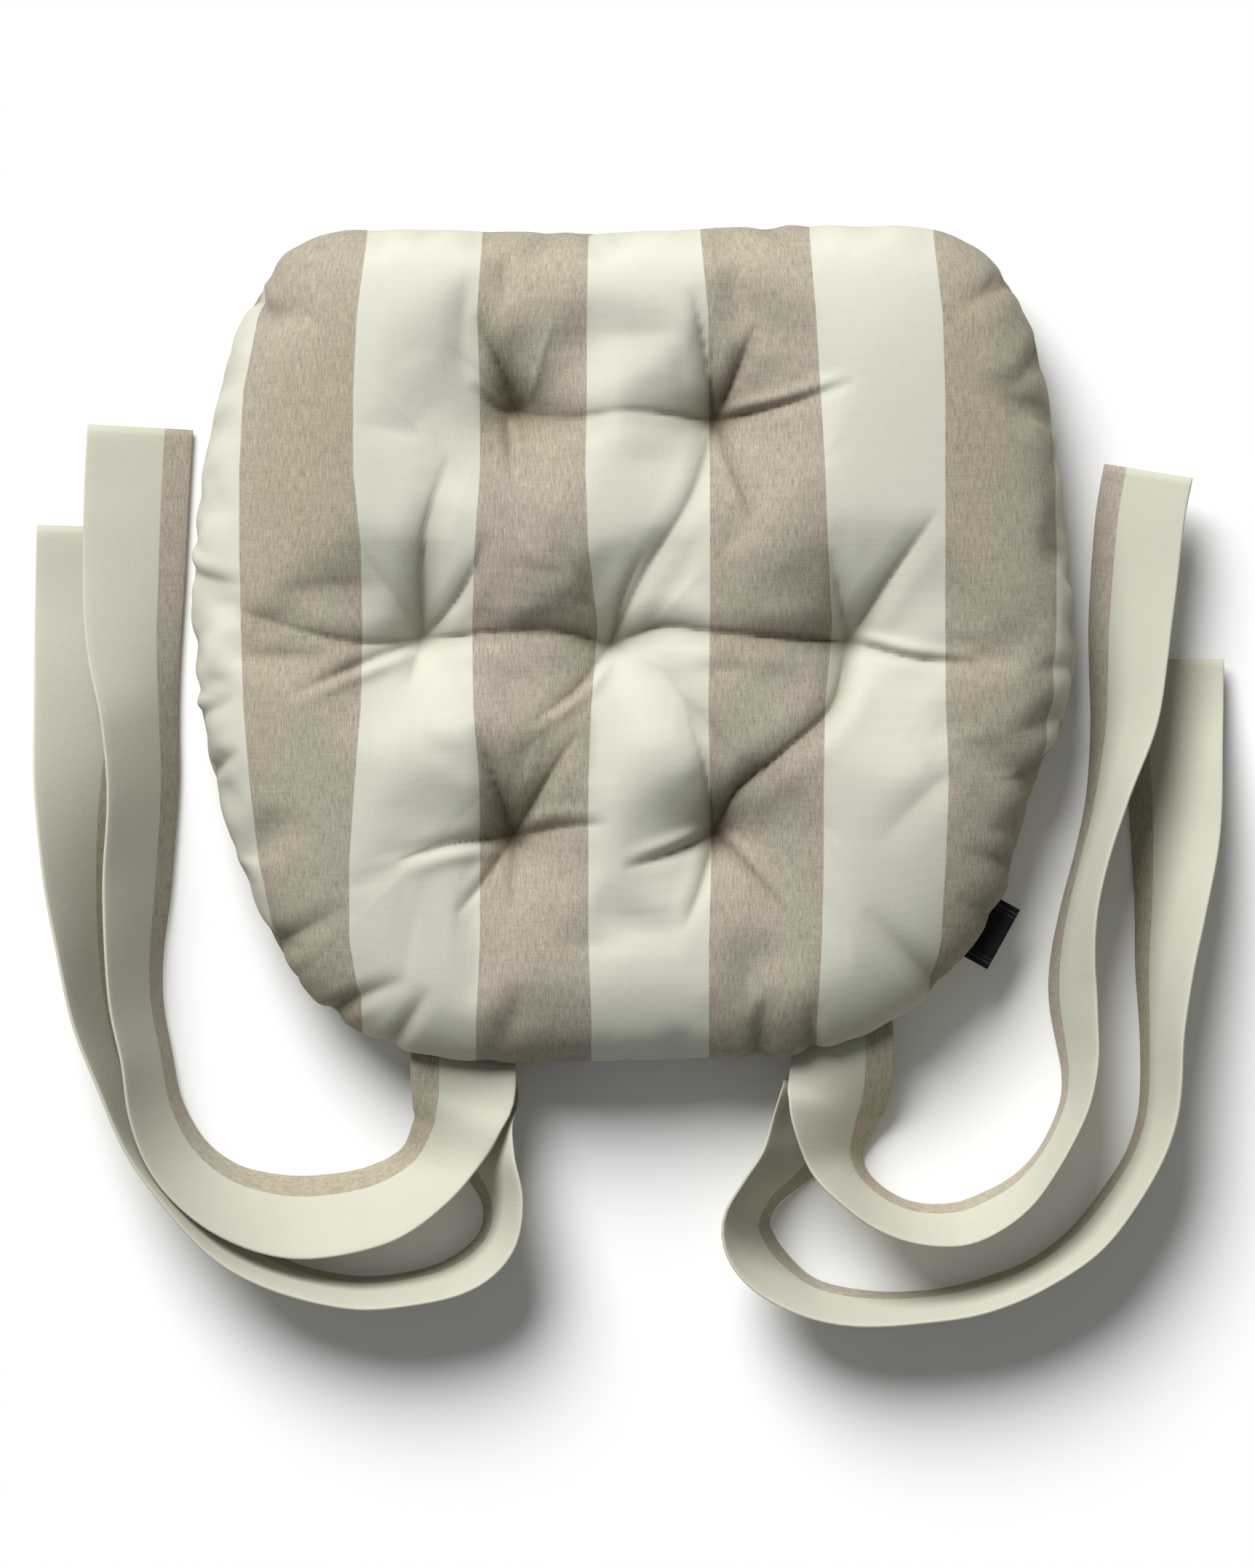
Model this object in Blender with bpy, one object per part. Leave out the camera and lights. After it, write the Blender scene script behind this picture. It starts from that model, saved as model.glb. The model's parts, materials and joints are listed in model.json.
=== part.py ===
# Tufted chair seat pad with four tie strips, in metres, +Z up, +Y towards the front edge.
# The origin is on the resting plane, at the centre of the pad's underside.
import math

import bmesh
import bpy
from mathutils import Vector
from mathutils.geometry import delaunay_2d_cdt

# ---- Driving dimensions ------------------------------------------------------------------------
PAD_HEIGHT = 0.078          # resting plane to the crown of the upper panel
SEAM_HEIGHT = 0.028         # resting plane to the middle of the side seam
CLOTH = 0.0008              # thickness of one layer of canvas
GAP = 0.0003                # clearance between pieces that touch
SEAM_SLOT = 0.0015          # room between the two seam allowances, which the thread fills
ALLOWANCE = 0.009           # how far the sewn allowances reach inside the cover
EDGE_POWER = 4.5            # how flat the pad stays before it turns down to the seam
SIDE_POWER = 2.0            # how round its sides are

TUFT_DROP = 0.032           # how deep a tuft pulls the upper panel down
TUFT_REACH = 0.034          # radius at which that pull ends
PINCH_RISE = 0.0035         # how far the underside is pinched up
PINCH_REACH = 0.0085
TUFT_HOLE = 0.0013          # radius of the needle hole through the layers
TWINE = 0.0009              # radius of the doubled tufting twine
KNOT = 0.0021               # radius of the twine's knots
KNOT_DEPTH = 0.0012

TIE_WIDTH = 0.0485
TIE_THICK = 0.0016          # two layers of canvas, turned and pressed
TIE_STEP = 0.010            # length of one facet along a tie
LOWER_TIE_DROP = 0.034      # length over which a tie comes down from the seam
UPPER_TIE_DROP = 0.052
UPPER_TIE_ARCH = 0.004      # how far an upper tie arches clear of the lower one meanwhile
HINGE_CLEAR = 0.00205       # seam outline to the axis that a pair of ties folds on
TIE_ROOT_ANGLES = (78.0, 52.0, 26.0)    # facets of a tie's rounded root, in degrees

THREAD_THICK = 0.0009
THREAD_INSET = (0.0026, 0.0034)         # outer and inner side of the seam, in from the outline
CLOSED_OPENING = 0.120      # length of the rear seam sewn last, after filling
BARTACK_LENGTH = 0.036
BARTACK_DEPTH = 0.0020
BARTACK_THICK = 0.0008
BARTACK_INSET = 0.0079      # in from the axis that the ties fold on

LABEL_LENGTH = 0.031
LABEL_REACH = 0.0115
LABEL_THICK = 0.0008

# The pad's outline seen from above, clockwise from the left end of the front edge.
OUTLINE = [
    (-0.134, 0.1870), (-0.021, 0.1876), (0.106, 0.1905), (0.157, 0.1780), (0.184, 0.1340),
    (0.198, 0.0515), (0.199, -0.0180), (0.183, -0.0630), (0.166, -0.1165), (0.139, -0.1530),
    (0.106, -0.1750), (0.060, -0.1865), (-0.018, -0.1905), (-0.086, -0.1870), (-0.122, -0.1750),
    (-0.150, -0.1540), (-0.178, -0.1020), (-0.196, -0.0340), (-0.1995, 0.0450), (-0.189, 0.1130),
    (-0.169, 0.1610),
]
OUTLINE_STEPS = 56

TUFTS = {
    "front_left": (-0.0518, 0.1049), "front_right": (0.0375, 0.1009),
    "middle_left": (-0.0960, 0.0020), "middle_centre": (-0.0103, -0.0007),
    "middle_right": (0.0976, 0.0007),
    "rear_left": (-0.0545, -0.0886), "rear_right": (0.0375, -0.0873),
}

# Concentric rings of the pad's panels: fraction of the outline, and points round the ring.
PANEL_RINGS = [
    (0.15, 10), (0.32, 18), (0.48, 26), (0.62, 34), (0.74, 42), (0.84, 50), (0.91, OUTLINE_STEPS),
    (0.96, OUTLINE_STEPS), (0.988, OUTLINE_STEPS),
]
# Rings round a tuft: radius, and points round the ring.
TUFT_RINGS = [(0.0045, 8), (PINCH_REACH, 10), (0.0155, 12), (0.025, 14)]
TUFT_CLEAR = 0.004          # between a tuft's last ring and the points of the panel's own rings
HOLE_SIDES = 8

# Where each pair of ties leaves the rear seam: middle of its root, and direction of the seam.
TIE_ROOTS = {"left": ((-0.0772, -0.1870), -4.0), "right": ((0.0945, -0.1780), 16.0)}
# A tie's route: x and y of its middle, then the width seen from above. Where a strip turns, it
# stands up leaning outwards on its inner edge, so less of its width is seen.
TIE_ROUTES = {
    "tie_left_lower": [
        (-0.0763, -0.2060, 0.0483), (-0.0745, -0.2160, 0.0450), (-0.0718, -0.2250, 0.0370),
        (-0.0655, -0.2380, 0.0250),
        (-0.0592, -0.2550, 0.0190), (-0.0620, -0.2730, 0.0170), (-0.0760, -0.2870, 0.0165),
        (-0.0980, -0.2950, 0.0150), (-0.1290, -0.2970, 0.0140), (-0.1640, -0.2880, 0.0140),
        (-0.1960, -0.2660, 0.0150), (-0.2240, -0.2310, 0.0150), (-0.2410, -0.1900, 0.0165),
        (-0.2500, -0.1500, 0.0220), (-0.2540, -0.1080, 0.0310), (-0.2545, -0.0740, 0.0385),
        (-0.2515, -0.0350, 0.0450), (-0.2500, 0.0100, 0.0480), (-0.2490, 0.0541, 0.0485),
    ],
    "tie_left_upper": [
        (-0.0775, -0.2060, 0.0474), (-0.0797, -0.2150, 0.0430), (-0.0830, -0.2250, 0.0375),
        (-0.0950, -0.2430, 0.0320),
        (-0.1170, -0.2570, 0.0360), (-0.1440, -0.2625, 0.0380), (-0.1660, -0.2610, 0.0365),
        (-0.1880, -0.2530, 0.0320), (-0.2060, -0.2370, 0.0275), (-0.2180, -0.2140, 0.0245),
        (-0.2230, -0.1880, 0.0230), (-0.2275, -0.1640, 0.0240), (-0.2285, -0.1400, 0.0265),
        (-0.2265, -0.1100, 0.0300), (-0.2245, -0.0650, 0.0320), (-0.2260, -0.0350, 0.0350),
        (-0.2285, -0.0050, 0.0420), (-0.2285, 0.0300, 0.0465), (-0.2275, 0.0650, 0.0480),
        (-0.2257, 0.0995, 0.0485),
    ],
    "tie_right_lower": [
        (0.0942, -0.1985, 0.0485), (0.0905, -0.2090, 0.0481), (0.0840, -0.2190, 0.0430),
        (0.0700, -0.2370, 0.0270),
        (0.0580, -0.2500, 0.0210), (0.0510, -0.2640, 0.0225), (0.0540, -0.2770, 0.0240),
        (0.0640, -0.2890, 0.0220), (0.0790, -0.2985, 0.0170), (0.0970, -0.3030, 0.0150),
        (0.1200, -0.3045, 0.0140), (0.1440, -0.3025, 0.0140), (0.1640, -0.2975, 0.0145),
        (0.1850, -0.2890, 0.0140), (0.2050, -0.2745, 0.0145), (0.2210, -0.2555, 0.0150),
        (0.2330, -0.2370, 0.0155), (0.2395, -0.2190, 0.0165), (0.2420, -0.2000, 0.0180),
        (0.2425, -0.1750, 0.0200), (0.2430, -0.1480, 0.0250), (0.2460, -0.1210, 0.0320),
        (0.2480, -0.0940, 0.0390), (0.2485, -0.0700, 0.0430), (0.2470, -0.0380, 0.0465),
        (0.2467, -0.0070, 0.0480),
    ],
    "tie_right_upper": [
        (0.0948, -0.1980, 0.0482), (0.0935, -0.2080, 0.0462), (0.0920, -0.2180, 0.0400),
        (0.0925, -0.2350, 0.0270),
        (0.1000, -0.2480, 0.0190), (0.1140, -0.2595, 0.0175), (0.1300, -0.2655, 0.0180),
        (0.1490, -0.2655, 0.0185), (0.1650, -0.2590, 0.0170), (0.1785, -0.2500, 0.0145),
        (0.1890, -0.2380, 0.0120), (0.1965, -0.2250, 0.0115), (0.2025, -0.2100, 0.0125),
        (0.2045, -0.1960, 0.0155), (0.2040, -0.1840, 0.0185), (0.2012, -0.1627, 0.0205),
        (0.2010, -0.1440, 0.0185), (0.2045, -0.1210, 0.0160), (0.2110, -0.0940, 0.0150),
        (0.2175, -0.0700, 0.0190), (0.2240, -0.0380, 0.0285), (0.2265, -0.0080, 0.0350),
        (0.2280, 0.0140, 0.0380), (0.2320, 0.0550, 0.0405), (0.2360, 0.0790, 0.0405),
    ],
}
# The label's middle on the seam, and the direction it points out of the seam.
LABEL_ROOT = (0.1592, -0.1296)
LABEL_HEADING = -29.0


def on_plane(degrees):
    return Vector((math.cos(math.radians(degrees)), math.sin(math.radians(degrees))))


def hinge(side):
    """The line that a pair of ties folds on, just clear of the pad's edge: point and direction."""
    root, angle = Vector(TIE_ROOTS[side][0]), TIE_ROOTS[side][1]
    seam = on_plane(angle)
    outward = Vector((seam.y, -seam.x))
    near = [Vector(p) - root for p in FINE_OUTLINE]
    reach = max(p.dot(outward) for p in near if abs(p.dot(seam)) < TIE_WIDTH * 0.6)
    return root + outward * (reach + HINGE_CLEAR), seam


def clear_scene():
    for obj in list(bpy.data.objects):
        bpy.data.objects.remove(obj, do_unlink=True)


def make_material(name, color, roughness):
    material = bpy.data.materials.new(name)
    material.use_nodes = True
    shader = material.node_tree.nodes["Principled BSDF"]
    shader.inputs["Base Color"].default_value = (*color, 1.0)
    shader.inputs["Roughness"].default_value = roughness
    shader.inputs["Metallic"].default_value = 0.0
    return material


def add_object(name, bm, material, smooth_angle=40.0):
    """Turn a closed bmesh into a named object with its faces pointing out."""
    bmesh.ops.recalc_face_normals(bm, faces=bm.faces)
    mesh = bpy.data.meshes.new(name)
    bm.to_mesh(mesh)
    bm.free()
    mesh.materials.append(material)
    mesh.shade_smooth()
    mesh.set_sharp_from_angle(angle=math.radians(smooth_angle))
    obj = bpy.data.objects.new(name, mesh)
    bpy.context.collection.objects.link(obj)
    return obj


def smooth_curve(points, samples_per_span, closed=False):
    """Catmull-Rom curve through the points, which may have any number of coordinates."""
    count = len(points)
    spans = count if closed else count - 1
    curve = []
    for i in range(spans):
        if closed:
            p0, p1, p2, p3 = (points[(i + k) % count] for k in (-1, 0, 1, 2))
        else:
            p0, p1, p2, p3 = (points[min(max(i + k, 0), count - 1)] for k in (-1, 0, 1, 2))
        for j in range(samples_per_span):
            t = j / samples_per_span
            curve.append(tuple(
                0.5 * (2 * b + (c - a) * t + (2 * a - 5 * b + 4 * c - d) * t ** 2
                       + (3 * b - a - 3 * c + d) * t ** 3)
                for a, b, c, d in zip(p0, p1, p2, p3)))
    if not closed:
        curve.append(tuple(points[-1]))
    return curve


def even_steps(curve, count, closed=False):
    """Points spaced evenly by length along a curve, using its first two coordinates."""
    loop = curve + [curve[0]] if closed else curve
    lengths = [0.0]
    for a, b in zip(loop, loop[1:]):
        lengths.append(lengths[-1] + math.dist(a[:2], b[:2]))
    steps = []
    k = 0
    for i in range(count):
        target = lengths[-1] * i / (count if closed else count - 1)
        while k < len(loop) - 2 and lengths[k + 1] < target:
            k += 1
        t = (target - lengths[k]) / max(lengths[k + 1] - lengths[k], 1e-9)
        steps.append(tuple(a + (b - a) * t for a, b in zip(loop[k], loop[k + 1])))
    return steps


FINE_OUTLINE = even_steps(smooth_curve(OUTLINE, 12, closed=True), 168, closed=True)


def edge_fraction(x, y):
    """How far out a point is: 0 at the pad's middle, 1 on its outline."""
    for a, b in zip(FINE_OUTLINE, FINE_OUTLINE[1:] + FINE_OUTLINE[:1]):
        side_a = a[0] * y - a[1] * x
        side_b = b[0] * y - b[1] * x
        if side_a * side_b <= 0.0 and side_a != side_b and a[0] * x + a[1] * y > 0.0:
            t = side_a / (side_a - side_b)
            on_edge = (a[0] + (b[0] - a[0]) * t, a[1] + (b[1] - a[1]) * t)
            return math.hypot(x, y) / math.hypot(*on_edge)
    return 0.0


def fullness(fraction):
    return max(1.0 - fraction ** EDGE_POWER, 0.0) ** (1.0 / SIDE_POWER)


def tuft_pull(x, y, depth, reach):
    """How far the tufts draw a panel in at a point."""
    pull = 0.0
    for cx, cy in TUFTS.values():
        d = math.hypot(x - cx, y - cy) / reach
        if d < 1.0:
            pull = max(pull, depth * (1.0 - d) ** 2 * (1.0 + d))
    return pull


def upper_height(inward):
    """Height of the upper panel's outer face, or of a face that lies further inward."""
    base = SEAM_HEIGHT + SEAM_SLOT / 2 + inward

    def height(x, y, fraction):
        rise = (PAD_HEIGHT - inward - base) * fullness(fraction)
        return base + rise - tuft_pull(x, y, TUFT_DROP, TUFT_REACH)
    return height


def lower_height(inward):
    """Height of the lower panel's outer face, or of a face that lies further inward."""
    base = SEAM_HEIGHT - SEAM_SLOT / 2 - inward

    def height(x, y, fraction):
        flat = min(1.0, 1.06 * fullness(fraction))
        return base - (base - inward) * flat + tuft_pull(x, y, PINCH_RISE, PINCH_REACH)
    return height


def panel_plan():
    """One triangulated plan for every layer: x, y and fraction, triangles, rim, hole loops."""
    points, edges, holes, fractions = [], [], [], []

    def add_loop(loop, fixed, fraction=None):
        start = len(points)
        points.extend(Vector(p) for p in loop)
        fractions.extend(edge_fraction(*p) if fraction is None else fraction for p in loop)
        if fixed:
            edges.extend((start + i, start + (i + 1) % len(loop)) for i in range(len(loop)))
        return list(range(start, len(points)))

    def ring(cx, cy, radius, sides):
        return [(cx + radius * math.cos(math.tau * i / sides),
                 cy + radius * math.sin(math.tau * i / sides)) for i in range(sides)]

    rim = add_loop(FINE_OUTLINE[::len(FINE_OUTLINE) // OUTLINE_STEPS], True, 1.0)
    for cx, cy in TUFTS.values():
        holes.append(add_loop(ring(cx, cy, TUFT_HOLE, HOLE_SIDES), True))
        for radius, sides in TUFT_RINGS:
            add_loop(ring(cx, cy, radius, sides), True)
    clear = TUFT_RINGS[-1][0] + TUFT_CLEAR
    add_loop([(0.0, 0.0)], False, 0.0)
    for fraction, count in PANEL_RINGS:
        loop = [(x * fraction, y * fraction)
                for x, y in even_steps(FINE_OUTLINE, count, closed=True)]
        kept = [p for p in loop if all(math.dist(p, c) > clear for c in TUFTS.values())]
        add_loop(kept, len(kept) == len(loop), fraction)
    verts, _, faces, orig, _, _ = delaunay_2d_cdt(points, edges, [], 0, 1e-7)
    found = {source: new for new, sources in enumerate(orig) for source in sources}
    on_rim = {found[i] for i in rim}
    triangles = []
    for face in faces:
        x = sum(verts[i].x for i in face) / len(face)
        y = sum(verts[i].y for i in face) / len(face)
        in_hole = any(math.dist((x, y), c) < TUFT_HOLE for c in TUFTS.values())
        if not in_hole and not on_rim.issuperset(face):
            triangles.append(tuple(face))
    plan = [(v.x, v.y, fractions[sources[0]]) for v, sources in zip(verts, orig)]
    return (plan, triangles, [found[i] for i in rim],
            [[found[i] for i in hole] for hole in holes])


def layer(bm, plan, height, inward):
    """Add one face of a panel: the plan lifted to its height, its rim drawn inward."""
    made = []
    for x, y, fraction in plan[0]:
        scale = 1.0 - inward * fraction ** 6 / max(math.hypot(x, y), 1e-6)
        made.append(bm.verts.new((x * scale, y * scale, height(x, y, fraction))))
    for triangle in plan[1]:
        bm.faces.new([made[i] for i in triangle])
    return made


def join_loops(bm, a, b):
    for i in range(len(a)):
        j = (i + 1) % len(a)
        bm.faces.new((a[i], a[j], b[j], b[i]))


def inset_ring(bm, plan, inward, z):
    ring = []
    for i in plan[2]:
        x, y, _ = plan[0][i]
        scale = 1.0 - inward / math.hypot(x, y)
        ring.append(bm.verts.new((x * scale, y * scale, z)))
    return ring


def layered_solid(name, plan, over, under, rim_rings, material):
    """A closed solid between two faces, joined round its rim and through its needle holes."""
    bm = bmesh.new()
    top = layer(bm, plan, *over)
    bottom = layer(bm, plan, *under)
    rings = [[top[i] for i in plan[2]]]
    rings += [inset_ring(bm, plan, inward, z) for inward, z in rim_rings]
    rings.append([bottom[i] for i in plan[2]])
    for a, b in zip(rings, rings[1:]):
        join_loops(bm, a, b)
    for hole in plan[3]:
        join_loops(bm, [top[i] for i in hole], [bottom[i] for i in hole])
    return add_object(name, bm, material)


def make_covers_and_filling(plan, canvas, fibre):
    slot = SEAM_SLOT / 2
    folded = slot + CLOTH
    stuffed = folded + GAP
    layered_solid(
        "cover_top", plan, (upper_height(0.0), 0.0), (upper_height(CLOTH), CLOTH),
        [(ALLOWANCE, SEAM_HEIGHT + slot), (ALLOWANCE, SEAM_HEIGHT + folded)], canvas)
    layered_solid(
        "cover_bottom", plan, (lower_height(CLOTH), CLOTH), (lower_height(0.0), 0.0),
        [(ALLOWANCE, SEAM_HEIGHT - folded), (ALLOWANCE, SEAM_HEIGHT - slot)], canvas)
    inward = CLOTH + GAP
    layered_solid(
        "filling", plan, (upper_height(inward), inward), (lower_height(inward), inward),
        [(ALLOWANCE + GAP, SEAM_HEIGHT + stuffed), (ALLOWANCE + GAP, SEAM_HEIGHT - stuffed)],
        fibre)


def seam_run(name, first, last, material):
    """Thread locked between the two allowances, along part of the outline."""
    bm = bmesh.new()
    outer, inner = THREAD_INSET
    half = THREAD_THICK / 2
    sections = []
    for i in range(first, last + 1):
        x, y = FINE_OUTLINE[i % len(FINE_OUTLINE)]
        reach = math.hypot(x, y)
        section = []
        for inward, dz in ((outer, -half), (outer, half), (inner, half), (inner, -half)):
            scale = 1.0 - inward / reach
            section.append(bm.verts.new((x * scale, y * scale, SEAM_HEIGHT + dz)))
        sections.append(section)
    for a, b in zip(sections, sections[1:]):
        join_loops(bm, a, b)
    bm.faces.new(sections[0])
    bm.faces.new(sections[-1])
    return add_object(name, bm, material)


def make_seams(material):
    """A machine seam round the pad, and the short seam that closes the filling opening."""
    rear = [i for i, (x, y) in enumerate(FINE_OUTLINE)
            if y < 0.0 and abs(x) < CLOSED_OPENING / 2]
    seam_run("closing_stitch", rear[0], rear[-1], material)
    seam_run("seam_thread", rear[-1] + 2, rear[0] - 2 + len(FINE_OUTLINE), material)


def make_tuft(name, x, y, material):
    """Doubled twine right through the pad, with a knot on each face."""
    fraction = edge_fraction(x, y)
    ring_x = x + KNOT
    top = upper_height(0.0)(ring_x, y, fraction) + GAP
    foot = lower_height(0.0)(ring_x, y, fraction) - GAP
    profile = [
        (TWINE * 1.3, top + KNOT_DEPTH), (KNOT, top + KNOT_DEPTH * 0.5), (TWINE, top - 0.0012),
        (TWINE, foot + 0.0012), (KNOT, foot - KNOT_DEPTH * 0.3), (TWINE * 1.3, foot - KNOT_DEPTH),
    ]
    bm = bmesh.new()
    rings = []
    for radius, z in profile:
        rings.append([bm.verts.new((x + radius * math.cos(math.tau * i / HOLE_SIDES),
                                    y + radius * math.sin(math.tau * i / HOLE_SIDES), z))
                      for i in range(HOLE_SIDES)])
    for a, b in zip(rings, rings[1:]):
        join_loops(bm, a, b)
    bm.faces.new(rings[0])
    bm.faces.new(rings[-1])
    return add_object(name, bm, material)


def tie_stations(route, root, seam):
    """Even stations along a tie: middle, width direction and width seen from above."""
    curve = smooth_curve([(root.x, root.y, TIE_WIDTH)] + route, 8)
    length = sum(math.dist(a[:2], b[:2]) for a, b in zip(curve, curve[1:]))
    steps = even_steps(curve, round(length / TIE_STEP) + 1)
    stations = []
    for i, (x, y, width) in enumerate(steps):
        before, after = steps[max(i - 1, 0)], steps[min(i + 1, len(steps) - 1)]
        along = Vector((after[0] - before[0], after[1] - before[1])).normalized()
        across = Vector((-along.y, along.x))
        skew = max(0.0, 1.0 - i / 3)
        across = (across * (1.0 - skew) + seam * skew * (1 if across.dot(seam) > 0 else -1))
        stations.append((Vector((x, y)), across.normalized(), min(width, TIE_WIDTH)))
    return stations


def make_tie(name, side, upper, material):
    """A flat strip that leaves the rear seam, comes down and lies in a loop beside the pad."""
    root, seam_2d = hinge(side)
    seam = seam_2d.to_3d()
    into_pad = Vector((-seam.y, seam.x, 0.0))
    axis = Vector((root.x, root.y, SEAM_HEIGHT))
    up = Vector((0.0, 0.0, 1.0))
    outer_sign = 1.0 if side == "left" else -1.0
    z_root = SEAM_HEIGHT + (GAP + TIE_THICK) / 2 * (1 if upper else -1)
    rest = TIE_THICK / 2 + (TIE_THICK + GAP if upper else 0.0)
    drop_length = UPPER_TIE_DROP if upper else LOWER_TIE_DROP
    arch = UPPER_TIE_ARCH if upper else 0.0
    bm = bmesh.new()
    sections = []

    def add_section(middle, width_dir, thick_dir, low, high, falling):
        section = []
        for s, t in ((-1, low), (1, low), (1, high), (-1, high)):
            corner = middle + width_dir * (TIE_WIDTH / 2 * s) + thick_dir * t - axis
            if falling:
                drop = min(max(-corner.dot(into_pad) / drop_length, 0.0), 1.0)
                corner.z += (z_root - rest) * (1.0 - drop * drop * (3.0 - 2.0 * drop))
                corner.z += arch * math.sin(math.pi * drop)
            section.append(bm.verts.new(corner))
        sections.append(section)

    near, far = GAP / 2, GAP / 2 + TIE_THICK
    for angle in TIE_ROOT_ANGLES:
        reach = far * math.cos(math.radians(angle))
        span = (near, reach) if upper else (-reach, -near)
        middle = axis + into_pad * (far * math.sin(math.radians(angle)))
        add_section(middle, seam, up, *span, False)
    for i, (place, across, width) in enumerate(tie_stations(TIE_ROUTES[name], root, seam_2d)):
        lean = math.acos(width / TIE_WIDTH)
        outward = across.to_3d() * outer_sign
        width_dir = outward * math.cos(lean) + up * math.sin(lean)
        thick_dir = up * math.cos(lean) - outward * math.sin(lean)
        middle = place.to_3d() + up * (rest + TIE_WIDTH / 2 * math.sin(lean))
        falling = i * TIE_STEP < 2 * drop_length
        add_section(middle, width_dir, thick_dir, -TIE_THICK / 2, TIE_THICK / 2, falling)
    for a, b in zip(sections, sections[1:]):
        join_loops(bm, a, b)
    bm.faces.new(sections[0])
    bm.faces.new(sections[-1])
    tie = add_object(name, bm, material)
    tie.location = axis
    return tie


def box_between(name, corners, low, high, material):
    bm = bmesh.new()
    rings = [[bm.verts.new((x, y, z)) for x, y in corners] for z in (low, high)]
    join_loops(bm, *rings)
    bm.faces.new(rings[0])
    bm.faces.new(rings[1])
    return add_object(name, bm, material)


def make_bartack(side, material):
    """Dense stitching that holds a pair of ties between the allowances."""
    root, seam = hinge(side)
    into_pad = Vector((-seam.y, seam.x))
    start = root + into_pad * BARTACK_INSET
    half = BARTACK_LENGTH / 2
    corners = [start + seam * s + into_pad * t
               for s, t in ((-half, 0.0), (half, 0.0), (half, BARTACK_DEPTH), (-half, BARTACK_DEPTH))]
    box_between(f"bartack_{side}", [tuple(c) for c in corners],
                SEAM_HEIGHT - BARTACK_THICK / 2, SEAM_HEIGHT + BARTACK_THICK / 2, material)


def make_label(material):
    """A woven tag folded in half, its fold outermost, that flexes on the side seam."""
    out = on_plane(LABEL_HEADING)
    along = Vector((-out.y, out.x))
    bm = bmesh.new()
    half = LABEL_THICK / 2
    profile = [(-half, 0.0), (-half * 0.6, half * 0.8), (0.0, half), (LABEL_REACH - half, half),
               (LABEL_REACH, 0.0), (LABEL_REACH - half, -half), (0.0, -half),
               (-half * 0.6, -half * 0.8)]
    ends = []
    for s in (-LABEL_LENGTH / 2, LABEL_LENGTH / 2):
        ends.append([bm.verts.new((out.x * d + along.x * s, out.y * d + along.y * s, z))
                     for d, z in profile])
    join_loops(bm, *ends)
    bm.faces.new(ends[0])
    bm.faces.new(ends[1])
    label = add_object("label", bm, material)
    label.location = (*LABEL_ROOT, SEAM_HEIGHT)
    return label


def main():
    clear_scene()
    canvas = make_material("striped_canvas", (0.62, 0.60, 0.53), 0.9)
    strip = make_material("tie_canvas", (0.78, 0.77, 0.68), 0.9)
    fibre = make_material("polyester_fibre", (0.90, 0.90, 0.88), 0.95)
    thread = make_material("seam_thread", (0.55, 0.50, 0.43), 0.8)
    twine = make_material("tufting_twine", (0.30, 0.27, 0.23), 0.8)
    woven = make_material("woven_tag", (0.015, 0.015, 0.017), 0.7)
    make_covers_and_filling(panel_plan(), canvas, fibre)
    make_seams(thread)
    for name, (x, y) in TUFTS.items():
        make_tuft(f"tuft_{name}", x, y, twine)
    for side in TIE_ROOTS:
        make_bartack(side, thread)
        make_tie(f"tie_{side}_lower", side, False, strip)
        make_tie(f"tie_{side}_upper", side, True, strip)
    make_label(woven)


main()
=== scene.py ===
import json
import math

import bpy
import numpy as np
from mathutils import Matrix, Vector


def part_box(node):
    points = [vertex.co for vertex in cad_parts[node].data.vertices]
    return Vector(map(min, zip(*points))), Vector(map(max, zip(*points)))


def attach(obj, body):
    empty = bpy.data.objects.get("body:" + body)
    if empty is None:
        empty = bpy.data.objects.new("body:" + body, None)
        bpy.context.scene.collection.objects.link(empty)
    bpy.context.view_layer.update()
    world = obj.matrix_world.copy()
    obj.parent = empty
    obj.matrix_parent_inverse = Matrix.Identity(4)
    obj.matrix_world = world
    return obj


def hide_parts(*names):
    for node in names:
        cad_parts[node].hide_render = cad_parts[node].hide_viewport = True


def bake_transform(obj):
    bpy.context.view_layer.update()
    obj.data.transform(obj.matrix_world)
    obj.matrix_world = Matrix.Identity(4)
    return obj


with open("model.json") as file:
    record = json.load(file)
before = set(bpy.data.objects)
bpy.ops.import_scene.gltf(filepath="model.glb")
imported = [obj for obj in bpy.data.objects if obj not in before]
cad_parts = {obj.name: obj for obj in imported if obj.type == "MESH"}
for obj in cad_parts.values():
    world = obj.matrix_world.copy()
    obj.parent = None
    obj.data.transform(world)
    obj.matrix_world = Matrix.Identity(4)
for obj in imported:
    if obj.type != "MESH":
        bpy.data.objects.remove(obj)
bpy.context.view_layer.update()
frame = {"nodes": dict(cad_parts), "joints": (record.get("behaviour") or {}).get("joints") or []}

bl_info = {
    "name": "Tufted seat pad",
    "version": (1, 0, 0),
    "blender": (4, 5, 0),
    "location": "View3D > Sidebar > Seat pad",
    "description": "Builds a tufted, striped chair pad with four cloth ties around its frame",
    "category": "Object",
}

# ---- The pad's plan, in millimetres, +Y towards the front edge ----
TUFTS = {
    "front_left": (-51.8, 104.9), "front_right": (37.5, 100.9), "middle_left": (-96.0, 2.0),
    "middle_centre": (-10.3, -0.7), "middle_right": (97.6, 0.7), "rear_left": (-54.5, -88.6),
    "rear_right": (37.5, -87.3),
}

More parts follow.
